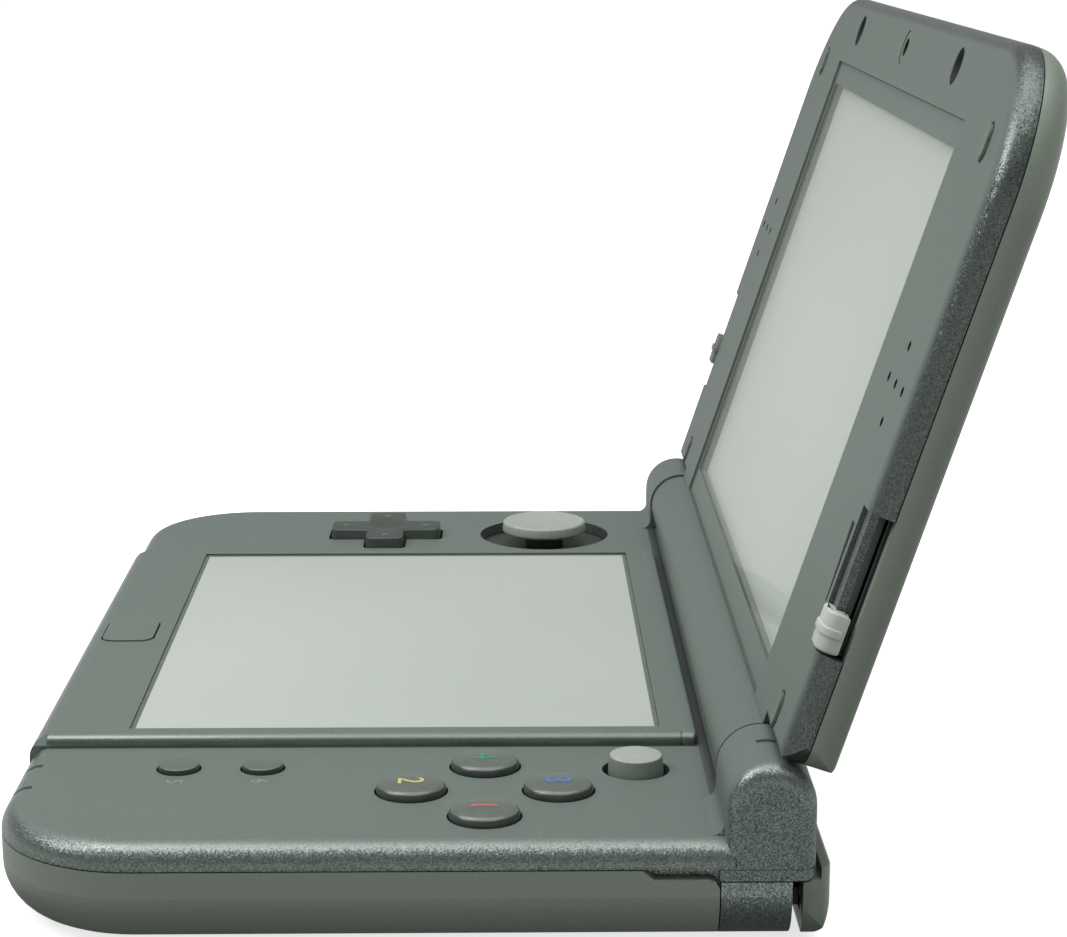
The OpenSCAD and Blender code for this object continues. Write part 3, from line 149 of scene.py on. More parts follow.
# %% Tent
def light_from(tree, height, levels):
    """Light by the height of a direction, from -1 straight down to 1 straight up."""
    ramp = tree.nodes.new("ShaderNodeValToRGB")
    stops = ramp.color_ramp.elements
    while len(stops) < len(levels):
        stops.new(0.5)
    for stop, (z, level) in zip(stops, levels):
        stop.position = (z + 1) / 2
        stop.color = (0.98 * level, level, 0.98 * level, 1)
    share = tree.nodes.new("ShaderNodeMapRange")
    share.inputs["From Min"].default_value = -1
    tree.links.new(height, share.inputs["Value"])
    tree.links.new(share.outputs["Result"], ramp.inputs["Fac"])
    return ramp.outputs["Color"]


TENT_LIGHT = [(-1.0, 0.06), (-0.55, 0.10), (-0.30, 0.70), (-0.05, 0.85), (0.10, 0.42), (0.45, 0.22), (0.80, 0.60)]

world = bpy.data.worlds.new("tent")
world.use_nodes = True
tent = world.node_tree
direction = tent.nodes.new("ShaderNodeTexCoord")
parts = tent.nodes.new("ShaderNodeSeparateXYZ")
tent.links.new(direction.outputs["Generated"], parts.inputs["Vector"])
tent.links.new(light_from(tent, parts.outputs["Z"], TENT_LIGHT), tent.nodes["Background"].inputs["Color"])
bpy.context.scene.world = world
bpy.context.scene.view_settings.view_transform = "Standard"
bpy.context.scene.view_settings.look = "None"


# %% Lamps
def softbox(name, place, aim, size, power):
    data = bpy.data.lights.new(name, "AREA")
    data.shape = "RECTANGLE"
    data.size, data.size_y = size
    data.energy = power
    lamp = bpy.data.objects.new(name, data)
    lamp.location = Vector(place)
    lamp.rotation_euler = (Vector(aim) - Vector(place)).to_track_quat("-Z", "Y").to_euler()
    bpy.context.collection.objects.link(lamp)
    return lamp


softbox("lamp_above", (0.02, 0.04, 0.80), (0, 0, 0.02), (0.80, 0.90), 4.7)
softbox("lamp_front", (0.10, -0.70, 0.70), (0, 0.04, 0.07), (0.60, 0.35), 2.2)
softbox("lamp_lid", (0.04, -0.10, 0.22), (0, 0.068, 0.09), (0.16, 0.10), 0.16)

# %% [markdown]
# ## Finishes
# Every finish is a Principled shader fed by small procedural patterns in Object coordinates, so the grain sticks
# to its piece when the lid opens. Three helpers keep the recipes short: a pattern, a blend of two colours by a
# pattern, and a bump. Numbers that are the same all over a piece go straight onto the shader.

# %% Helpers for finishes
def new_finish(name, roughness, metallic=0.0, coat=0.0, coat_roughness=0.1):
    material = bpy.data.materials.new(name)
    material.use_nodes = True
    shader = material.node_tree.nodes["Principled BSDF"]
    shader.inputs["Roughness"].default_value = roughness
    shader.inputs["Metallic"].default_value = metallic
    shader.inputs["Coat Weight"].default_value = coat
    shader.inputs["Coat Roughness"].default_value = coat_roughness
    return material, material.node_tree, shader


def pattern(tree, kind, per_metre, detail=2.0):
    """A noise or Voronoi pattern that sticks to the object, with so many cells in a metre."""
    place = tree.nodes.new("ShaderNodeTexCoord")
    texture = tree.nodes.new("ShaderNodeTexNoise" if kind == "noise" else "ShaderNodeTexVoronoi")
    texture.inputs["Scale"].default_value = per_metre
    if kind == "noise":
        texture.inputs["Detail"].default_value = detail
    tree.links.new(place.outputs["Object"], texture.inputs["Vector"])
    return texture


def blend_by(tree, factor, dark, light, low=0.35, high=0.65):
    ramp = tree.nodes.new("ShaderNodeValToRGB")
    ramp.color_ramp.elements[0].position = low
    ramp.color_ramp.elements[0].color = (*dark, 1)
    ramp.color_ramp.elements[1].position = high
    ramp.color_ramp.elements[1].color = (*light, 1)
    tree.links.new(factor, ramp.inputs["Fac"])
    return ramp.outputs["Color"]


def add_bump(tree, shader, height, strength, distance):
    bump = tree.nodes.new("ShaderNodeBump")
    bump.inputs["Strength"].default_value = strength
    bump.inputs["Distance"].default_value = distance
    tree.links.new(height, bump.inputs["Height"])
    tree.links.new(bump.outputs["Normal"], shader.inputs["Normal"])


def spread(tree, factor, low, high, from_low=0.0, from_high=1.0):
    """Maps a factor onto the range from low to high."""
    ramp = tree.nodes.new("ShaderNodeMapRange")
    ramp.interpolation_type = "SMOOTHSTEP"
    ramp.inputs["From Min"].default_value = from_low
    ramp.inputs["From Max"].default_value = from_high
    ramp.inputs["To Min"].default_value = low
    ramp.inputs["To Max"].default_value = high
    tree.links.new(factor, ramp.inputs["Value"])
    return ramp.outputs["Result"]


# %% [markdown]
# ### Painted shells with metal flake
# The deck and the lid's inner shell are sprayed with a grey-green paint full of tiny metal flakes. On the flats
# the paint is smooth and pale, and on the edges that turn away from them it is darker and glitters. A mask from
# the surface's own direction tells edges from flats. Bump would only wrinkle the paint, so each flake tips the
# normal by its own amount: a Voronoi cell's random colour, centred on zero, is added to the normal. Each piece
# has its own copy of the paint, with its edge colour scaled: lighter on the lower case as painted light, darker
# on the lid as painted shade, and the lid's sunk shelf takes the edge colour as painted shade too.

# %% Masks for the edges
def dot_with(tree, vector, direction):
    dot = tree.nodes.new("ShaderNodeVectorMath")
    dot.operation = "DOT_PRODUCT"
    dot.inputs[1].default_value = direction
    tree.links.new(vector, dot.inputs[0])
    return dot.outputs["Value"]


def arithmetic(tree, operation, first, second=None, number=None):
    node = tree.nodes.new("ShaderNodeMath")
    node.operation = operation
    tree.links.new(first, node.inputs[0])
    if second is not None:
        tree.links.new(second, node.inputs[1])
    if number is not None:
        node.inputs[1].default_value = number
    return node.outputs["Value"]


def edge_masks(tree, second_direction, beyond, start, outside, gloss_outside, sunk):
    """How far the surface turns from the flats (0 to 1), and how much of that lies where flakes show."""
    place = tree.nodes.new("ShaderNodeTexCoord")
    across = arithmetic(tree, "ABSOLUTE", dot_with(tree, place.outputs["Object"], (1, 0, 0)))
    far_out = arithmetic(tree, "GREATER_THAN", across, number=outside)
    sideways = arithmetic(tree, "ABSOLUTE", dot_with(tree, place.outputs["Normal"], (1, 0, 0)))
    second = arithmetic(tree, "ABSOLUTE", dot_with(tree, place.outputs["Normal"], second_direction))
    inside = arithmetic(tree, "GREATER_THAN", dot_with(tree, place.outputs["Object"], beyond), number=start)
    along = arithmetic(tree, "MULTIPLY", second, inside)
    flaked = arithmetic(tree, "MAXIMUM", arithmetic(tree, "MULTIPLY", sideways, far_out), along)
    # Below the level of a sunk place and beyond its x, the edge colour is used as painted shade in the recess.
    if sunk:
        low = arithmetic(tree, "LESS_THAN", dot_with(tree, place.outputs["Object"], sunk[0]), number=sunk[1])
        edge_strip = arithmetic(tree, "GREATER_THAN", across, number=sunk[2])
        flaked = arithmetic(tree, "MAXIMUM", flaked, arithmetic(tree, "MULTIPLY", low, edge_strip))
    glossy_out = arithmetic(tree, "GREATER_THAN", across, number=gloss_outside)
    turned = arithmetic(tree, "MAXIMUM", arithmetic(tree, "MULTIPLY", sideways, glossy_out), along)
    return spread(tree, turned, 0.0, 1.0, 0.12, 0.75), spread(tree, flaked, 0.0, 1.0, 0.12, 0.75)


# %% Flake paint
FLAT_DARK = (0.124, 0.153, 0.136)
FLAT_LIGHT = (0.139, 0.170, 0.151)
EDGE_DARK = (0.098, 0.122, 0.110)
EDGE_LIGHT = (0.270, 0.312, 0.290)


def lighter(colour, times):
    return tuple(min(1.0, times * c) for c in colour)


def tip_by_flake(tree, shader, flakes, amount):
    geometry = tree.nodes.new("ShaderNodeNewGeometry")
    centre = tree.nodes.new("ShaderNodeVectorMath")
    centre.operation = "SUBTRACT"
    centre.inputs[1].default_value = (0.5, 0.5, 0.5)
    tree.links.new(flakes.outputs["Color"], centre.inputs[0])
    scale = tree.nodes.new("ShaderNodeVectorMath")
    scale.operation = "SCALE"
    tree.links.new(amount, scale.inputs["Scale"])
    tree.links.new(centre.outputs["Vector"], scale.inputs[0])
    add = tree.nodes.new("ShaderNodeVectorMath")
    add.operation = "ADD"
    tree.links.new(geometry.outputs["Normal"], add.inputs[0])
    tree.links.new(scale.outputs["Vector"], add.inputs[1])
    unit = tree.nodes.new("ShaderNodeVectorMath")
    unit.operation = "NORMALIZE"
    tree.links.new(add.outputs["Vector"], unit.inputs[0])
    tree.links.new(unit.outputs["Vector"], shader.inputs["Normal"])


def flake_paint(name, level, edge_light_level, second_direction, beyond, start, outside, gloss_outside, sunk=None):
    material, tree, shader = new_finish(name, 0.42)
    turned, mask = edge_masks(tree, second_direction, beyond, start, outside, gloss_outside, sunk)
    flakes = pattern(tree, "voronoi", 7500)
    clouds = pattern(tree, "noise", 2500, detail=3.0)
    flat = blend_by(tree, clouds.outputs["Fac"], lighter(FLAT_DARK, level), lighter(FLAT_LIGHT, level))
    edge_colours = lighter(EDGE_DARK, edge_light_level), lighter(EDGE_LIGHT, edge_light_level)
    edge = blend_by(tree, flakes.outputs["Color"], *edge_colours, 0.1, 0.9)
    mix = tree.nodes.new("ShaderNodeMix")
    mix.data_type = "RGBA"
    tree.links.new(mask, mix.inputs["Factor"])
    tree.links.new(flat, mix.inputs["A"])
    tree.links.new(edge, mix.inputs["B"])
    tree.links.new(mix.outputs["Result"], shader.inputs["Base Color"])
    tree.links.new(spread(tree, turned, 0.10, 0.72), shader.inputs["Metallic"])
    tree.links.new(spread(tree, turned, 0.50, 0.28), shader.inputs["Roughness"])
    tip_by_flake(tree, shader, flakes, spread(tree, mask, 0.03, 0.26))
    return material


# One paint in three copies: the lower case's edges are 1.45 times as light, as painted light, and the lid's edges 0.58
# times and its flats 0.92 times, as painted shade.
deck_paint = flake_paint("deck_paint", 0.95, 0.97, (0, 1, 0), (0, -1, 0), -0.030, 0.050, 0.0)
case_paint_lightened = flake_paint("case_paint_lightened", 1.0, 1.45, (0, 1, 0), (0, -1, 0), -0.030, 0.050, 0.050)
OUT_OF_LID = Vector((0, -math.sin(LID_TURN), math.cos(LID_TURN)))
# The lid's shelf below this level gets the darker edge colour, as painted shade in the recess.
SHELF_LEVEL = (HINGE.dot(OUT_OF_LID) + 0.95) * MM
lid_paint_shaded = flake_paint(
    "lid_paint_shaded", 0.92, 0.58, tuple(UP_THE_LID), (0, 0, 1), 0.0212, 0.060, 0.060,
    (tuple(OUT_OF_LID), SHELF_LEVEL, 0.0753),
)
print("flake paints made")

# %% [markdown]
# ### Moulded plastics, rubber and metal
# The outer covers are bare moulded plastic with a fine satin grain. Buttons are smoother and darker, and get a
# thin coat for the sharp reflection of a polished mould. Rubber is dull, and steel has long fine scratches.

# %% Plastic, rubber and metal
def moulded(name, dark, light, roughness, grain, coat=0.0, bump=0.12):
    material, tree, shader = new_finish(name, roughness, coat=coat)
    clouds = pattern(tree, "noise", grain, detail=4.0)
    tree.links.new(blend_by(tree, clouds.outputs["Fac"], dark, light), shader.inputs["Base Color"])
    rough = spread(tree, clouds.outputs["Fac"], roughness - 0.05, roughness + 0.06)
    tree.links.new(rough, shader.inputs["Roughness"])
    fine = pattern(tree, "noise", 6 * grain, detail=2.0)
    add_bump(tree, shader, fine.outputs["Fac"], bump, 0.00003)
    return material


def brushed(name, dark, light, roughness):
    material, tree, shader = new_finish(name, roughness, metallic=1.0)
    strokes = pattern(tree, "noise", 900, detail=6.0)
    stretch = tree.nodes.new("ShaderNodeMapping")
    stretch.inputs["Scale"].default_value = (0.05, 1.0, 1.0)
    place = strokes.inputs["Vector"].links[0].from_socket
    tree.links.new(place, stretch.inputs["Vector"])
    tree.links.new(stretch.outputs["Vector"], strokes.inputs["Vector"])
    tree.links.new(blend_by(tree, strokes.outputs["Fac"], dark, light), shader.inputs["Base Color"])
    rough = spread(tree, strokes.outputs["Fac"], roughness - 0.08, roughness + 0.08)
    tree.links.new(rough, shader.inputs["Roughness"])
    return material


cover_plastic = moulded("cover_plastic", (0.204, 0.242, 0.198), (0.222, 0.262, 0.215), 0.38, 2600, coat=0.10, bump=0.2)
button_plastic = moulded("button_plastic", (0.092, 0.112, 0.096), (0.104, 0.127, 0.108), 0.32, 900, coat=0.40)
# The side finish of the buttons is a darker copy of the button plastic: painted shade on the sides.
button_side_shade = moulded("button_side_shade", (0.030, 0.038, 0.033), (0.037, 0.046, 0.040), 0.34, 900, coat=0.3)
pad_cross_plastic = moulded("pad_cross_plastic", (0.040, 0.050, 0.042), (0.048, 0.059, 0.050), 0.42, 900)
case_plastic = moulded("case_plastic", (0.100, 0.120, 0.102), (0.118, 0.140, 0.119), 0.42, 900)
shoulder_plastic = moulded("shoulder_plastic", (0.135, 0.162, 0.137), (0.158, 0.188, 0.160), 0.36, 900, coat=0.1)
# This dark finish also serves as painted shade, at the foot of the barrel and at the foot of the plateau's rim.
channel_plastic_and_shade = moulded("channel_plastic_and_shade", (0.040, 0.049, 0.043), (0.050, 0.060, 0.053), 0.50, 900)
# The same dark finish marks the seams and, on the wedge beside the slider, is painted shade.
seam_and_shade_dark = moulded("seam_and_shade_dark", (0.012, 0.016, 0.013), (0.018, 0.023, 0.019), 0.80, 900)
pale_plastic = moulded("pale_plastic", (0.450, 0.487, 0.450), (0.485, 0.522, 0.485), 0.42, 900)
stick_top_plastic = moulded("stick_top_plastic", (0.315, 0.345, 0.315), (0.342, 0.374, 0.342), 0.42, 900)
# The small stick's side finish is a darker copy of its top: painted shade on the sides.
stick_side_shade = moulded("stick_side_shade", (0.178, 0.200, 0.180), (0.200, 0.224, 0.202), 0.45, 900)
black_plastic = moulded("black_plastic", (0.012, 0.012, 0.013), (0.020, 0.020, 0.021), 0.45, 900)
pad_plastic = moulded("pad_plastic", (0.300, 0.330, 0.300), (0.335, 0.366, 0.335), 0.50, 1200, bump=0.3)
rubber = moulded("rubber", (0.020, 0.021, 0.020), (0.032, 0.034, 0.032), 0.70, 1200, bump=0.3)
bumper_rubber = moulded("bumper_rubber", (0.130, 0.154, 0.137), (0.148, 0.172, 0.154), 0.62, 1400, bump=0.3)
steel = brushed("steel", (0.42, 0.43, 0.44), (0.60, 0.61, 0.62), 0.34)
print("plastics, rubber and steel made")

# %% [markdown]
# ### Screens and windows
# A switched-off liquid crystal panel under a white tent looks pale grey, because its top layer scatters a little
# of the light. A sharp coat over a dull pale base gives both the even grey and the mirror at a low angle.

# %% Screens, windows and boards
def panel_finish(name, dark, light, roughness, coat, bump=0.05):
    material, tree, shader = new_finish(name, roughness, coat=coat, coat_roughness=0.04)
    clouds = pattern(tree, "noise", 14, detail=1.0)
    tree.links.new(blend_by(tree, clouds.outputs["Fac"], dark, light), shader.inputs["Base Color"])
    if bump:
        fine = pattern(tree, "noise", 5000, detail=1.0)
        add_bump(tree, shader, fine.outputs["Fac"], bump, 0.00001)
    else:
        rough = spread(tree, clouds.outputs["Fac"], roughness - 0.02, roughness + 0.02)
        tree.links.new(rough, shader.inputs["Roughness"])
    return material


def board_finish(name, mask, track):
    material, tree, shader = new_finish(name, 0.45, coat=0.3)
    lines = pattern(tree, "voronoi", 420)
    tree.links.new(blend_by(tree, lines.outputs["Distance"], track, mask, 0.08, 0.16), shader.inputs["Base Color"])
    return material


touch_film = panel_finish("touch_film", (0.398, 0.436, 0.396), (0.436, 0.476, 0.434), 0.42, 0.25)
picture_panel = panel_finish("picture_panel", (0.640, 0.692, 0.635), (0.690, 0.744, 0.685), 0.42, 0.1, 0)
dark_window = panel_finish("dark_window", (0.014, 0.017, 0.015), (0.020, 0.024, 0.021), 0.60, 0.0)
dark_window.node_tree.nodes["Principled BSDF"].inputs["Specular IOR Level"].default_value = 0.15
light_guide = panel_finish("light_guide", (0.016, 0.018, 0.016), (0.024, 0.027, 0.024), 0.60, 0.0)
circuit_board = board_finish("circuit_board", (0.015, 0.075, 0.035), (0.06, 0.20, 0.08))
radio_board = board_finish("radio_board", (0.010, 0.025, 0.080), (0.05, 0.09, 0.22))
battery_skin = moulded("battery_skin", (0.030, 0.045, 0.085), (0.040, 0.058, 0.105), 0.5, 500)
ribbon_film = board_finish("ribbon_film", (0.22, 0.11, 0.02), (0.40, 0.24, 0.06))


# A clear pane gets a pale base colour shown at a fraction of full strength, which lightens what lies behind it:
# painted sheen for the reflection of the bright tent in the glass.
def clear_finish(name, colour, alpha):
    material, tree, shader = new_finish(name, 0.03)
    sheen_clouds = pattern(tree, "noise", 30, detail=1.0)
    light = tuple(min(1.0, c * 1.06) for c in colour)
    tree.links.new(blend_by(tree, sheen_clouds.outputs["Fac"], colour, light), shader.inputs["Base Color"])
    shader.inputs["Alpha"].default_value = alpha
    return material


clear_window = clear_finish("clear_window", (0.45, 0.49, 0.45), 0.22)
glass_print = panel_finish("glass_print", lighter(FLAT_DARK, 0.94), lighter(FLAT_LIGHT, 0.94), 0.50, 0.0)
print("finishes so far:", len(bpy.data.materials))

# %% Inks
def ink(name, colour):
    pale = tuple(min(1.0, 1.25 * c) for c in colour)
    return moulded(name, colour, pale, 0.38, 1500, coat=0.2, bump=0.05)


blue_ink = ink("blue_ink", (0.050, 0.160, 0.440))
green_ink = ink("green_ink", (0.030, 0.210, 0.135))
yellow_ink = ink("yellow_ink", (0.480, 0.440, 0.170))
red_ink = ink("red_ink", (0.520, 0.110, 0.085))
grey_ink = ink("grey_ink", (0.200, 0.225, 0.205))
print("inks made")

# %% [markdown]
# ## Finishes on the solids
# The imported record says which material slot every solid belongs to. One table from slot to finish therefore
# dresses all of them at once, and a solid that is made again later simply gets hidden.

# %% Dress the solids
FINISH = {
    "cover_plastic": cover_plastic, "shell_plastic": deck_paint, "button_plastic": button_plastic,
    "pale_plastic": pale_plastic, "black_plastic": black_plastic, "dark_window": dark_window,
    "light_guide": light_guide, "screen_face": touch_film, "screen_panel": picture_panel,
    "lid_glass": clear_window, "rubber": rubber, "bumper_rubber": bumper_rubber,
    "circuit_board": circuit_board, "radio_board": radio_board, "battery_skin": battery_skin,
    "steel": steel, "ribbon": ribbon_film,
}
SPECIAL = {
    "lid_bezel": lid_paint_shaded, "lower_case": case_paint_lightened, "shoulder_left": shoulder_plastic,
    "shoulder_right": shoulder_plastic, "trigger_left": shoulder_plastic, "trigger_right": shoulder_plastic,
    "inner_camera": dark_window, "pad_disc": pad_cross_plastic,
}
slot_of = {row["node"]: row["material_slot"] for row in frame["record"]["subparts"]}
body_of_node = {node: body for body, nodes in frame["record"]["behaviour"]["bodies"].items() for node in nodes}
for node, solid in frame["nodes"].items():
    for place in solid.material_slots:
        place.material = SPECIAL.get(node, FINISH[slot_of[node]])
print(len(slot_of), "solids dressed")

# %% [markdown]
# ## Making pieces
# A new piece is a mesh in millimetres in a bmesh, moved into the console by one matrix at the end. Smooth shading
# with sharp edges by angle keeps round faces round and flat faces flat. A piece says which body it rides on,
# which finishes it wears and which solids it stands for.

# %% Finish a piece
def finish_piece(name, bm, body, material, nodes=(), place=ON_BODY, sharp=40):
    bmesh.ops.remove_doubles(bm, verts=bm.verts, dist=0.0005)
    bmesh.ops.recalc_face_normals(bm, faces=bm.faces)
    bm.transform(place)
    mesh = bpy.data.meshes.new(name)
    bm.to_mesh(mesh)
    bm.free()
    mesh.shade_smooth()
    mesh.set_sharp_from_angle(angle=math.radians(sharp))
    for finish in material if isinstance(material, (list, tuple)) else [material]:
        mesh.materials.append(finish)
    piece = bpy.data.objects.new(name, mesh)
    bpy.context.collection.objects.link(piece)
    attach(piece, body)
    if nodes:
        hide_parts(*nodes)
    print(name, "has", len(mesh.polygons), "faces")
    return piece


def stand_for(name, node, bm, material, place=ON_BODY, sharp=40):
    """A piece that takes a solid's place and body."""
    return finish_piece(name, bm, body_of_node[node], material, [node], place, sharp)


# %% [markdown]
# ### Round pieces by spinning
# Buttons, the small stick and the round pad are turned shapes: half of the outline, from the top of the axis out
# and down, is spun once round. Round stretches of the outline come from an arc, not from a list of points.

# %% Spin an outline
def arc(centre, radius, start, end, steps=6):
    """Points on an arc in the plane of radius and height, from start to end in degrees."""
    points = []
    for i in range(steps + 1):
        angle = math.radians(start + (end - start) * i / steps)
        points.append((centre[0] + radius * math.cos(angle), centre[1] + radius * math.sin(angle)))
    return points


def turned(outline, centre, steps=96, bm=None):
    bm = bm or bmesh.new()
    verts = [bm.verts.new((centre[0] + r, centre[1], z)) for r, z in outline]
    edges = [bm.edges.new(pair) for pair in zip(verts, verts[1:])]
    bmesh.ops.spin(
        bm, geom=verts + edges, cent=(centre[0], centre[1], 0), axis=(0, 0, 1),
        angle=2 * math.pi, steps=steps, use_merge=True,
    )
    bmesh.ops.remove_doubles(bm, verts=bm.verts, dist=0.0005)
    return bm


# %% [markdown]
# ### Action buttons
# Each of the four action buttons has a gently domed top, a generous round where the thumb slides off, and a
# straight side that drops into its hole, painted dark as shade. Their letters are replaced by plain numerals in
# four colours, printed flush with the dome.

# %% Action buttons
BUTTON_ROUND = 0.85
DOME_DROP = 0.22
FLANGE_OUT = 0.95


def button_outline(radius, low, top, rounding, drop):
    shoulder = radius - rounding
    dome_r = (shoulder ** 2 + drop ** 2) / (2 * drop)
    reach = math.degrees(math.asin(shoulder / dome_r))
    outline = arc((0, top - dome_r), dome_r, 90, 90 - reach, 8)
    outline += arc((shoulder, top - drop - rounding), rounding, 90 - reach, 0, 8)
    outline += [(radius, low + 0.8), (radius + FLANGE_OUT, low + 0.8), (radius + FLANGE_OUT, low), (0, low)]
    return outline


def paint_side_shade(bm, below=0.62):
    """Faces that look sideways get the second finish, a darker colour that is painted shade on the sides."""
    bmesh.ops.recalc_face_normals(bm, faces=bm.faces)
    for face in bm.faces:
        face.material_index = int(abs(face.normal.z) < below)
    return bm


# The second finish, for faces that look sideways, is painted shade.
BUTTON_FINISHES = [button_plastic, button_side_shade]
dome_radius = {}
for node in ("button_right", "button_bottom", "button_top", "button_left"):
    low, high = node_box(node)
    radius = (high.x - low.x) / 2 - FLANGE_OUT
    outline = button_outline(radius, low.z, high.z, BUTTON_ROUND, DOME_DROP)
    shoulder = radius - BUTTON_ROUND
    dome_radius[node] = (shoulder ** 2 + DOME_DROP ** 2) / (2 * DOME_DROP)
    stand_for(node + "_cap", node, paint_side_shade(turned(outline, middle_of(node))), BUTTON_FINISHES)

# %% Small round buttons
for node in ("small_button_front", "small_button_rear"):
    low, high = node_box(node)
    radius = (high.x - low.x) / 2 - FLANGE_OUT
    outline = button_outline(radius, low.z, high.z, 0.22, 0.06)
    stand_for(node + "_cap", node, paint_side_shade(turned(outline, middle_of(node), 64)), BUTTON_FINISHES)

# %% [markdown]
# ### Small stick
# The small stick is one piece of pale grey plastic: a flat top with a narrow round edge, sides that widen a
# little downwards, and a thin neck through the deck. The sides get a darker grey, as painted shade.

# %% Small stick
low, high = node_box("stick_cap")
STICK_R = (high.x - low.x) / 2
stick_outline = [(0, high.z)] + arc((STICK_R - 0.45, high.z - 0.3), 0.3, 90, 10, 6)
stick_outline += [(STICK_R, DECK_Z - 0.4), (STICK_R - 0.2, DECK_Z - 0.6), (2.4, DECK_Z - 0.6), (2.4, low.z)]
stick_outline += [(1.7, low.z), (1.7, DECK_Z + 0.12), (0, DECK_Z + 0.12)]
bm = paint_side_shade(turned(stick_outline, middle_of("stick_cap")), 0.5)
stand_for("stick_cap_grip", "stick_cap", bm, [stick_top_plastic, stick_side_shade])

# %% [markdown]
# ### Round sliding pad
# The round pad is a grey rubbery disc with a raised rim and a shallow dish for the thumb. Its outline is spun
# with a concave arc inside the rim.

# %% Round pad
low, high = node_box("pad_cap")
PAD_R = (high.x - low.x) / 2
DISH_R = 26
pad_outline = arc(
    (0, high.z - 0.65 + DISH_R), DISH_R, 270, 270 + math.degrees(math.asin((PAD_R - 1.2) / DISH_R)), 10
)
pad_outline += arc((PAD_R - 0.62, high.z - 0.42), 0.42, 120, 0, 8)
pad_outline += arc((PAD_R - 0.6, low.z + 0.5), 0.5, 0, -90, 6) + [(3.2, low.z), (3.2, low.z + 0.3), (0, low.z + 0.3)]
stand_for("pad_cap_grip", "pad_cap", turned(pad_outline, middle_of("pad_cap"), 128), pad_plastic, sharp=50)

# %% [markdown]
# ### Softened copies of moulded solids
# A solid's mesh is loose triangles with razor edges. A copy is merged, its flat faces are joined again into
# whole faces, and every sharp edge is bevelled a little, as on a real moulding, where edges catch the light.

# %% Soften a solid
def softened(name, node, material, radius, segments=3, from_angle=50, sharp=40):
    bm = bmesh.new()
    bm.from_mesh(frame["nodes"][node].data)
    bm.transform(Matrix.Scale(1 / MM, 4))
    bmesh.ops.remove_doubles(bm, verts=bm.verts, dist=0.002)
    bmesh.ops.dissolve_limit(bm, angle_limit=math.radians(1), verts=bm.verts, edges=bm.edges)
    sharp_edges = [
        e for e in bm.edges
        if len(e.link_faces) == 2 and e.calc_face_angle(0) > math.radians(from_angle)
    ]
    bmesh.ops.bevel(
        bm, geom=sharp_edges, offset=radius, offset_type="OFFSET", segments=segments, profile=0.5,
        affect="EDGES", clamp_overlap=True, material=-1,
    )
    return stand_for(name, node, bm, material, sharp=sharp)


softened("dpad_cross", "dpad", pad_cross_plastic, 0.30)
softened("home_button_cap", "home_button", deck_paint, 0.18)
softened("power_button_cap", "power_button", button_plastic, 0.20)
softened("volume_slider_knob", "volume_slider", case_plastic, 0.30)
softened("shoulder_right_cap", "shoulder_right", shoulder_plastic, 0.50, 4, 25)
softened("shoulder_left_cap", "shoulder_left", shoulder_plastic, 0.50, 4, 25)
softened("trigger_right_cap", "trigger_right", shoulder_plastic, 0.40, 4)
softened("trigger_left_cap", "trigger_left", shoulder_plastic, 0.40, 4)

# %% [markdown]
# ### Depth slider
# The slider's knob is a pale pillow-shaped block with a rounded rib across its middle, which the thumb pushes
# against. Both are the same outline, which follows the lid's own round, pushed along the slot; the rib's is a
# little larger. A thin satin liner with one long slit lines the channel behind the knob.

# %% Depth slider knob
def block(bm, low, high, rounding, segments=5, chosen=lambda edge: True):
    """A cube between two corners, with its chosen edges rounded."""
    made = bmesh.ops.create_cube(bm, size=1)
    size = Vector(high) - Vector(low)
    bmesh.ops.scale(bm, vec=size, verts=made["verts"])
    bmesh.ops.translate(bm, vec=(Vector(low) + Vector(high)) / 2, verts=made["verts"])
    edges = {e for v in made["verts"] for e in v.link_edges if chosen(e)}
    return bmesh.ops.bevel(
        bm, geom=list(edges), offset=rounding, offset_type="OFFSET", segments=segments, profile=0.5,
        affect="EDGES", clamp_overlap=True, material=-1,
    )


def bar(bm, outline, start, end, rounding, segments=5):
    """A closed outline in the plane of X and height, pushed from start to end along Y, with its rims rounded."""
    verts = [bm.verts.new((x, start, z)) for x, z in outline]
    cap = bmesh.ops.contextual_create(bm, geom=verts)["faces"]
    lifted = bmesh.ops.extrude_face_region(bm, geom=cap, use_keep_orig=True)["geom"]
    far_verts = [g for g in lifted if isinstance(g, bmesh.types.BMVert)]
    bmesh.ops.translate(bm, vec=(0, end - start, 0), verts=far_verts)
    rims = {e for v in verts + far_verts for e in v.link_edges if abs(e.verts[0].co.y - e.verts[1].co.y) < 0.01}
    bmesh.ops.bevel(
        bm, geom=list(rims), offset=rounding, offset_type="OFFSET", segments=segments, profile=0.5,
        affect="EDGES", clamp_overlap=True, material=-1,
    )


def knob_outline(grow, foot):
    """The knob's cross-section: over the shelf, round the lid's edge and down into the channel."""
    inner = arc((76.1 - grow / 2, 1.25 + grow), 0.5, 180, 90, 5)
    outer = arc((78.2, 0.25), 1.5 + grow, 90, 0, 10)
    return [(75.6 - grow / 2, 0.86)] + inner + outer + [(79.7 + grow, foot), (77.99, foot), (77.99, 0.86)]


bm = bmesh.new()
bar(bm, knob_outline(0.0, -0.80), 18.3, 22.9, 0.35)
bar(bm, knob_outline(0.19, -0.45), 20.05, 21.15, 0.22)
stand_for("depth_slider_knob", "depth_slider", bm, pale_plastic, ON_LID)

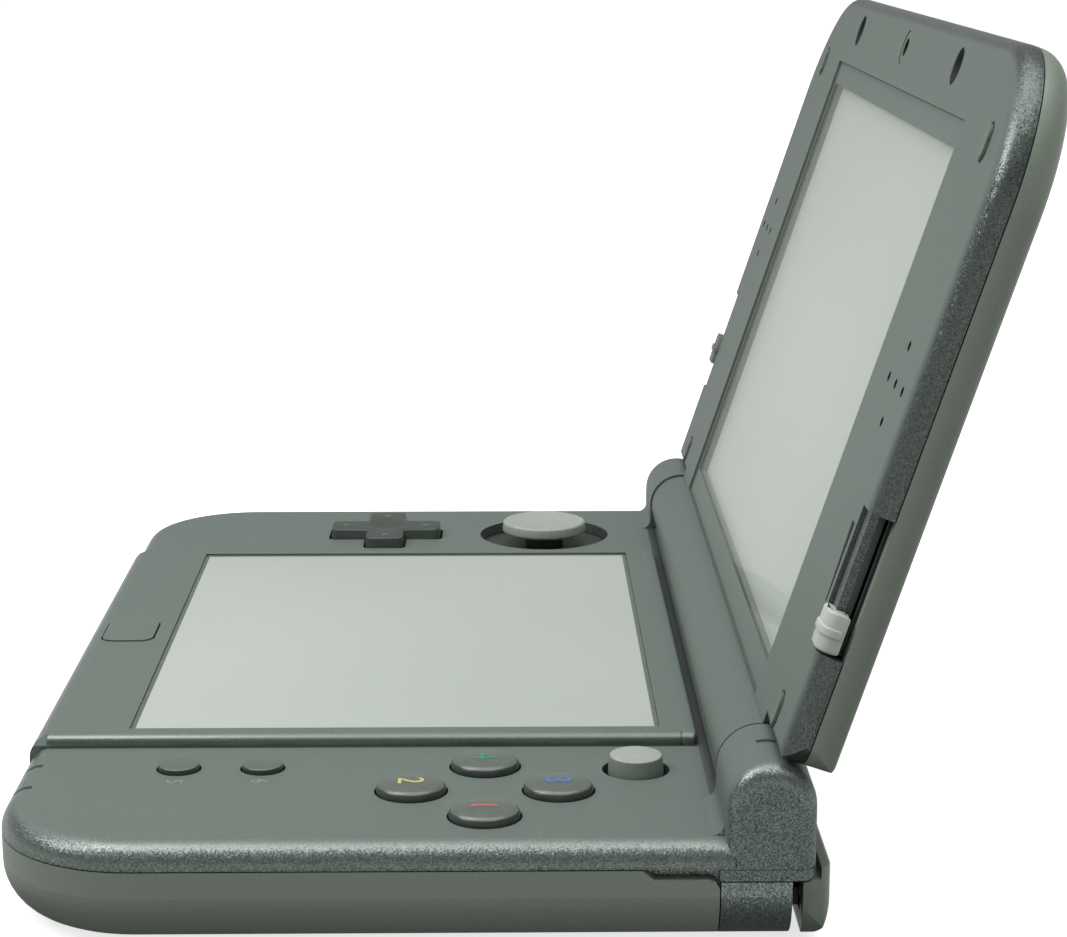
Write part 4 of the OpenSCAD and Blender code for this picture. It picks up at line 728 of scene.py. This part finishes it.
# %% Channel liner
bm = bmesh.new()
block(bm, (77.83, 18.15, -1.00), (77.93, 34.2, -0.30), 0.03, 2)
block(bm, (77.83, 18.15, -1.60), (77.93, 34.2, -1.32), 0.03, 2)
block(bm, (77.83, 18.10, -1.58), (77.92, 18.30, -0.35), 0.03, 2)
block(bm, (77.83, 34.05, -1.58), (77.92, 34.22, -0.35), 0.03, 2)
finish_piece("channel_liner", bm, "lid", channel_plastic_and_shade, (), ON_LID)

# %% [markdown]
# ### Lid glass
# The plate over the upper screen is clear only over the picture. Its border is printed from behind in the
# shell's grey. One plate is cut into nine faces; the middle one gets the clear finish and the rest the print.

# %% Lid glass with its printed border
low, high = node_box("glass_plate")
GLASS_HALF_W = high.x - 0.05
GLASS_LOW, GLASS_HIGH = 5.2, 75.7
WINDOW_HALF_W = 52.9
WINDOW_LOW, WINDOW_HIGH = 8.9, 72.4
GLASS_BACK, GLASS_FACE = 0.42, 0.90

def nine_faces(columns, rows, low, high, open_middle):
    """A plate cut into nine by four column and four row places; the middle is marked, or taken out."""
    bm = bmesh.new()
    bmesh.ops.create_grid(bm, x_segments=3, y_segments=3, size=1)
    for vert in bm.verts:
        vert.co = (columns[round((vert.co.x + 1) * 1.5)], rows[round((vert.co.y + 1) * 1.5)], low)
    middle = [f for f in bm.faces if columns[1] < f.calc_center_median().x < columns[2]]
    middle = [f for f in middle if rows[1] < f.calc_center_median().y < rows[2]]
    middle[0].material_index = 1
    if open_middle:
        bmesh.ops.delete(bm, geom=middle, context="FACES")
    lifted = bmesh.ops.extrude_face_region(bm, geom=list(bm.faces), use_keep_orig=True)
    raised = [g for g in lifted["geom"] if isinstance(g, bmesh.types.BMVert)]
    bmesh.ops.translate(bm, vec=(0, 0, high - low), verts=raised)
    return bm


columns = [-GLASS_HALF_W, -WINDOW_HALF_W, WINDOW_HALF_W, GLASS_HALF_W]
rows = [GLASS_LOW, WINDOW_LOW, WINDOW_HIGH, GLASS_HIGH]
bm = nine_faces(columns, rows, GLASS_BACK, GLASS_FACE, False)
corners = [
    e for e in bm.edges
    if abs(e.verts[0].co.z - e.verts[1].co.z) > 0.1 and abs(e.verts[0].co.x) > WINDOW_HALF_W + 1
    and not WINDOW_LOW - 1 < e.verts[0].co.y < WINDOW_HIGH + 1
]
bmesh.ops.bevel(
    bm, geom=corners, offset=0.5, offset_type="OFFSET", segments=4, profile=0.5, affect="EDGES", material=-1,
)
stand_for("lid_window", "glass_plate", bm, [glass_print, clear_window], ON_LID)

# %% Frame behind the glass
columns = [-WINDOW_HALF_W - 1.0, -WINDOW_HALF_W - 0.02, WINDOW_HALF_W + 0.02, WINDOW_HALF_W + 1.0]
rows = [WINDOW_LOW - 1.0, WINDOW_LOW - 0.02, WINDOW_HIGH + 0.02, WINDOW_HIGH + 1.0]
bm = nine_faces(columns, rows, -0.43, GLASS_BACK - 0.02, True)
finish_piece("picture_frame", bm, "lid", case_plastic, (), ON_LID)

# %% [markdown]
# ### Frame round the touch screen
# A thin dark gasket fills the step between the deck's window and the touch screen. It is a flat ring: a
# rectangle, inset once, with the middle taken out, and thickened.

# %% Touch screen gasket
def flat_ring(half_w, half_d, width, low, high, corner=0.5):
    bm = bmesh.new()
    bmesh.ops.create_grid(bm, x_segments=1, y_segments=1, size=1)
    bmesh.ops.scale(bm, vec=(half_w, half_d, 1), verts=bm.verts)
    bmesh.ops.bevel(
        bm, geom=list(bm.verts), offset=corner, offset_type="OFFSET", segments=4, profile=0.5,
        affect="VERTICES", material=-1,
    )
    middle = list(bm.faces)
    bmesh.ops.inset_region(bm, faces=middle, thickness=width, use_boundary=True, use_even_offset=True)
    bmesh.ops.delete(bm, geom=middle, context="FACES")
    bmesh.ops.translate(bm, vec=(0, 0, low), verts=bm.verts)
    lifted = bmesh.ops.extrude_face_region(bm, geom=list(bm.faces))
    bmesh.ops.translate(
        bm, vec=(0, 0, high - low), verts=[g for g in lifted["geom"] if isinstance(g, bmesh.types.BMVert)]
    )
    return bm


low, high = node_box("touch_panel")
bm = flat_ring((high.x - low.x) / 2 + 0.12, (high.y - low.y) / 2 + 0.12, 0.55, high.z - 0.2, high.z + 0.06)
bmesh.ops.translate(bm, vec=(0, (low.y + high.y) / 2, 0), verts=bm.verts)
finish_piece("touch_screen_gasket", bm, "base", case_plastic)

# %% [markdown]
# ### Seams, and painted shade by the barrel
# Where two mouldings meet there is a dark line, and a line drawn by shadow alone is too faint. So each bumper
# sits in a thin dark ring, and a ring marks the joint between the lid's barrel and each knuckle of the body. A
# dark strip along the foot of the barrel is painted shade for the valley between the deck and the barrel.

# %% Bumper seats
for number, (x, up) in enumerate(((70, 8.3), (-70, 8.3), (70, 74.7), (-70, 74.7)), 1):
    bm = flat_ring(1.52, 2.32, 0.40, 1.27, 1.34, 1.50)
    bmesh.ops.translate(bm, vec=(x, up, 0), verts=bm.verts)
    finish_piece(f"bumper_seat_{number}", bm, "lid", seam_and_shade_dark, (), ON_LID)

# %% Rings between barrel and knuckles
ALONG_HINGE = TO_METRES @ Matrix.Translation(HINGE) @ Matrix.Rotation(math.pi / 2, 4, "Y")
for name, start in (("seam_ring_right", 65.02), ("seam_ring_left", -65.16)):
    outline = [(4.5, start), (5.05, start), (5.05, start + 0.14), (4.5, start + 0.14), (4.5, start)]
    finish_piece(name, turned(outline, (0, 0), 128), "base", seam_and_shade_dark, (), ALONG_HINGE)

# %% Painted shade along the foot of the barrel
bm = bmesh.new()
block(bm, (-64.9, 34.35, DECK_Z - 0.1), (64.9, 35.6, DECK_Z + 0.06), 0.03, 2)
finish_piece("barrel_foot_shade", bm, "base", channel_plastic_and_shade)

# %% [markdown]
# ### Plateau rim
# The raised part of the deck has a rounded rim along both ends, and it runs on to a lip close to the barrel. An
# arc gives the rim's cross-section, and it is pushed along the plateau.

# %% Plateau rim
RIM_R = 1.25
rim_side = [(46.24, DECK_Z - 1.1)] + arc((46.24 - RIM_R, PLATEAU_Z + 0.004 - RIM_R), RIM_R, 0, 90, 8)
bm = bmesh.new()
bar(bm, rim_side + [(-x, z) for x, z in reversed(rim_side)], 31.7, 34.25, 0.5)
for side in (1, -1):
    outline = [(side * x, z) for x, z in rim_side + [(44.9, DECK_Z - 1.1)]]
    bar(bm, outline, -44.7, 32.6, 0.9)
finish_piece("plateau_rim", bm, "base", deck_paint, sharp=50)

# %% Painted shade at the foot of the rim
# Each strip is a thin dark band along the foot of the rim: painted shade in the crease.
bm = bmesh.new()
for side in (1, -1):
    left, right = sorted((side * 46.20, side * 46.42))
    block(bm, (left, -44.2, DECK_Z - 0.2), (right, 34.2, DECK_Z + 0.05), 0.03, 2)
finish_piece("rim_foot_shade", bm, "base", channel_plastic_and_shade)

# %% [markdown]
# ### Sensor cups and the inner camera
# Above the screen sit two dark cups for the sensors, with a small camera between them. Each is turned: a rim just
# under the lid's face, a dished wall and a flat bottom. The camera has a raised ring round a shiny little lens.

# %% Sensor cups
def cup_outline(rim, floor_r, rim_z, floor_z, back_z):
    wall = [
        (floor_r + (rim - floor_r) * i / 8, floor_z + (rim_z - floor_z) * (i / 8) ** 1.8) for i in range(9)
    ]
    return [(0, floor_z)] + wall + [(rim + 0.06, rim_z), (rim + 0.06, back_z), (0, back_z)]


bm = bmesh.new()
for x in (39.0, -44.0):
    turned(cup_outline(2.16, 0.9, 1.24, 0.05, -1.5), (x, 81.1), 64, bm)
stand_for("sensor_cups", "sensor_windows", bm, dark_window, ON_LID, 60)

lens = [(0, 0.72)] + arc((0, -2.0), 2.72, 82, 68, 5) + [(1.1, 0.40), (1.25, 1.16), (2.2, 1.22), (2.2, -2.2), (0, -2.2)]
bm = turned(lens, (-1.0, 81.1), 64)
for face in bm.faces:
    face.material_index = int((face.calc_center_median().xy - Vector((-1.0, 81.1))).length < 1.24)
stand_for("inner_camera_lens", "inner_camera", bm, [case_plastic, dark_window], ON_LID)

# %% [markdown]
# ## Numerals and marks
# The real buttons carry letters, and here they carry plain numerals. A text object gives the outline, and it is
# made a mesh straight away, so that its points can be laid on the dome of a button.

# %% Numerals
def numeral(name, text, tall, place, body, material, deep=0.05, drop=None):
    """A thin numeral whose middle lies at the origin of place, with its foot towards -Y there."""
    curve = bpy.data.curves.new(name, "FONT")
    curve.body = text
    curve.size = 1
    curve.extrude = 0.02
    curve.resolution_u = 6
    shape = bpy.data.objects.new(name + "_text", curve)
    bpy.context.collection.objects.link(shape)
    bpy.context.view_layer.update()
    mesh = shape.evaluated_get(bpy.context.evaluated_depsgraph_get()).to_mesh()
    bm = bmesh.new()
    bm.from_mesh(mesh)
    bpy.data.objects.remove(shape)
    bmesh.ops.triangulate(bm, faces=bm.faces)
    if drop:
        bmesh.ops.subdivide_edges(bm, edges=bm.edges, cuts=3, use_grid_fill=True)
    xs = [v.co.x for v in bm.verts]
    ys = [v.co.y for v in bm.verts]
    grow = tall / (max(ys) - min(ys))
    for vert in bm.verts:
        x = (vert.co.x - (max(xs) + min(xs)) / 2) * grow
        y = (vert.co.y - (max(ys) + min(ys)) / 2) * grow
        z = deep if vert.co.z > 0 else -deep
        if drop:
            z -= (x * x + y * y) / (2 * drop)
        vert.co = (x, y, z)
    return finish_piece(name, bm, body, material, (), place, 30)


NUMERALS = {
    "button_right": ("1", red_ink), "button_bottom": ("2", yellow_ink),
    "button_top": ("3", blue_ink), "button_left": ("4", green_ink),
}
NUMERAL_TALL = 3.0
for node, (text, finish) in NUMERALS.items():
    at = middle_of(node)
    at.z = node_box(node)[1].z - 0.01
    numeral(
        "numeral_" + text, text, NUMERAL_TALL, TO_METRES @ Matrix.Translation(at), node, finish,
        drop=dome_radius[node],
    )

# %% Numerals beside the small buttons and the slider
for text, node in (("5", "small_button_front"), ("6", "small_button_rear")):
    at = middle_of(node) + Vector((4.6, 0, 0))
    at.z = DECK_Z - 0.03
    numeral("numeral_" + text, text, 1.9, TO_METRES @ Matrix.Translation(at), "base", grey_ink)

LID_FACE = 1.3
for text, up in (("0", 19.5), ("7", 30.4)):
    place = ON_LID @ Matrix.Translation((73.4, up, LID_FACE - 0.03))
    numeral("numeral_" + text, text, 1.9, place, "lid", grey_ink)

# %% [markdown]
# A long thin wedge beside the depth slider shows which way it gets stronger. It is a dark triangle, narrow at the foot
# and wide at the top, that stands a hair above the bezel; its dark colour is painted shade for an engraved wedge.

# %% Wedge mark
bm = bmesh.new()
bmesh.ops.create_circle(bm, cap_ends=True, radius=1, segments=3)
WEDGE = [(72.9, 31.8), (74.1, 31.8), (74.1, 22.6)]
for vert, (x, y) in zip(bm.verts, WEDGE):
    vert.co = (x, y, LID_FACE - 0.03)
lifted = bmesh.ops.extrude_face_region(bm, geom=list(bm.faces), use_keep_orig=True)
bmesh.ops.translate(bm, vec=(0, 0, 0.10), verts=[g for g in lifted["geom"] if isinstance(g, bmesh.types.BMVert)])
finish_piece("wedge_mark", bm, "lid", seam_and_shade_dark, (), ON_LID)

# %% Arrow marks on the direction pad
pad_middle = middle_of("dpad")
pad_top = node_box("dpad")[1].z
bm = bmesh.new()
for quarter in range(4):
    made = bmesh.ops.create_cone(bm, cap_ends=True, segments=3, radius1=0.85, radius2=0.75, depth=0.06)
    spot = Matrix.Translation((pad_middle.x, pad_middle.y, pad_top)) @ Matrix.Rotation(quarter * math.pi / 2, 4, "Z")
    aim = Matrix.Rotation(math.pi / 2, 4, "Z")
    bmesh.ops.transform(bm, matrix=spot @ Matrix.Translation((0, 6.4, 0)) @ aim, verts=made["verts"])
finish_piece("dpad_arrows", bm, "dpad", case_plastic)
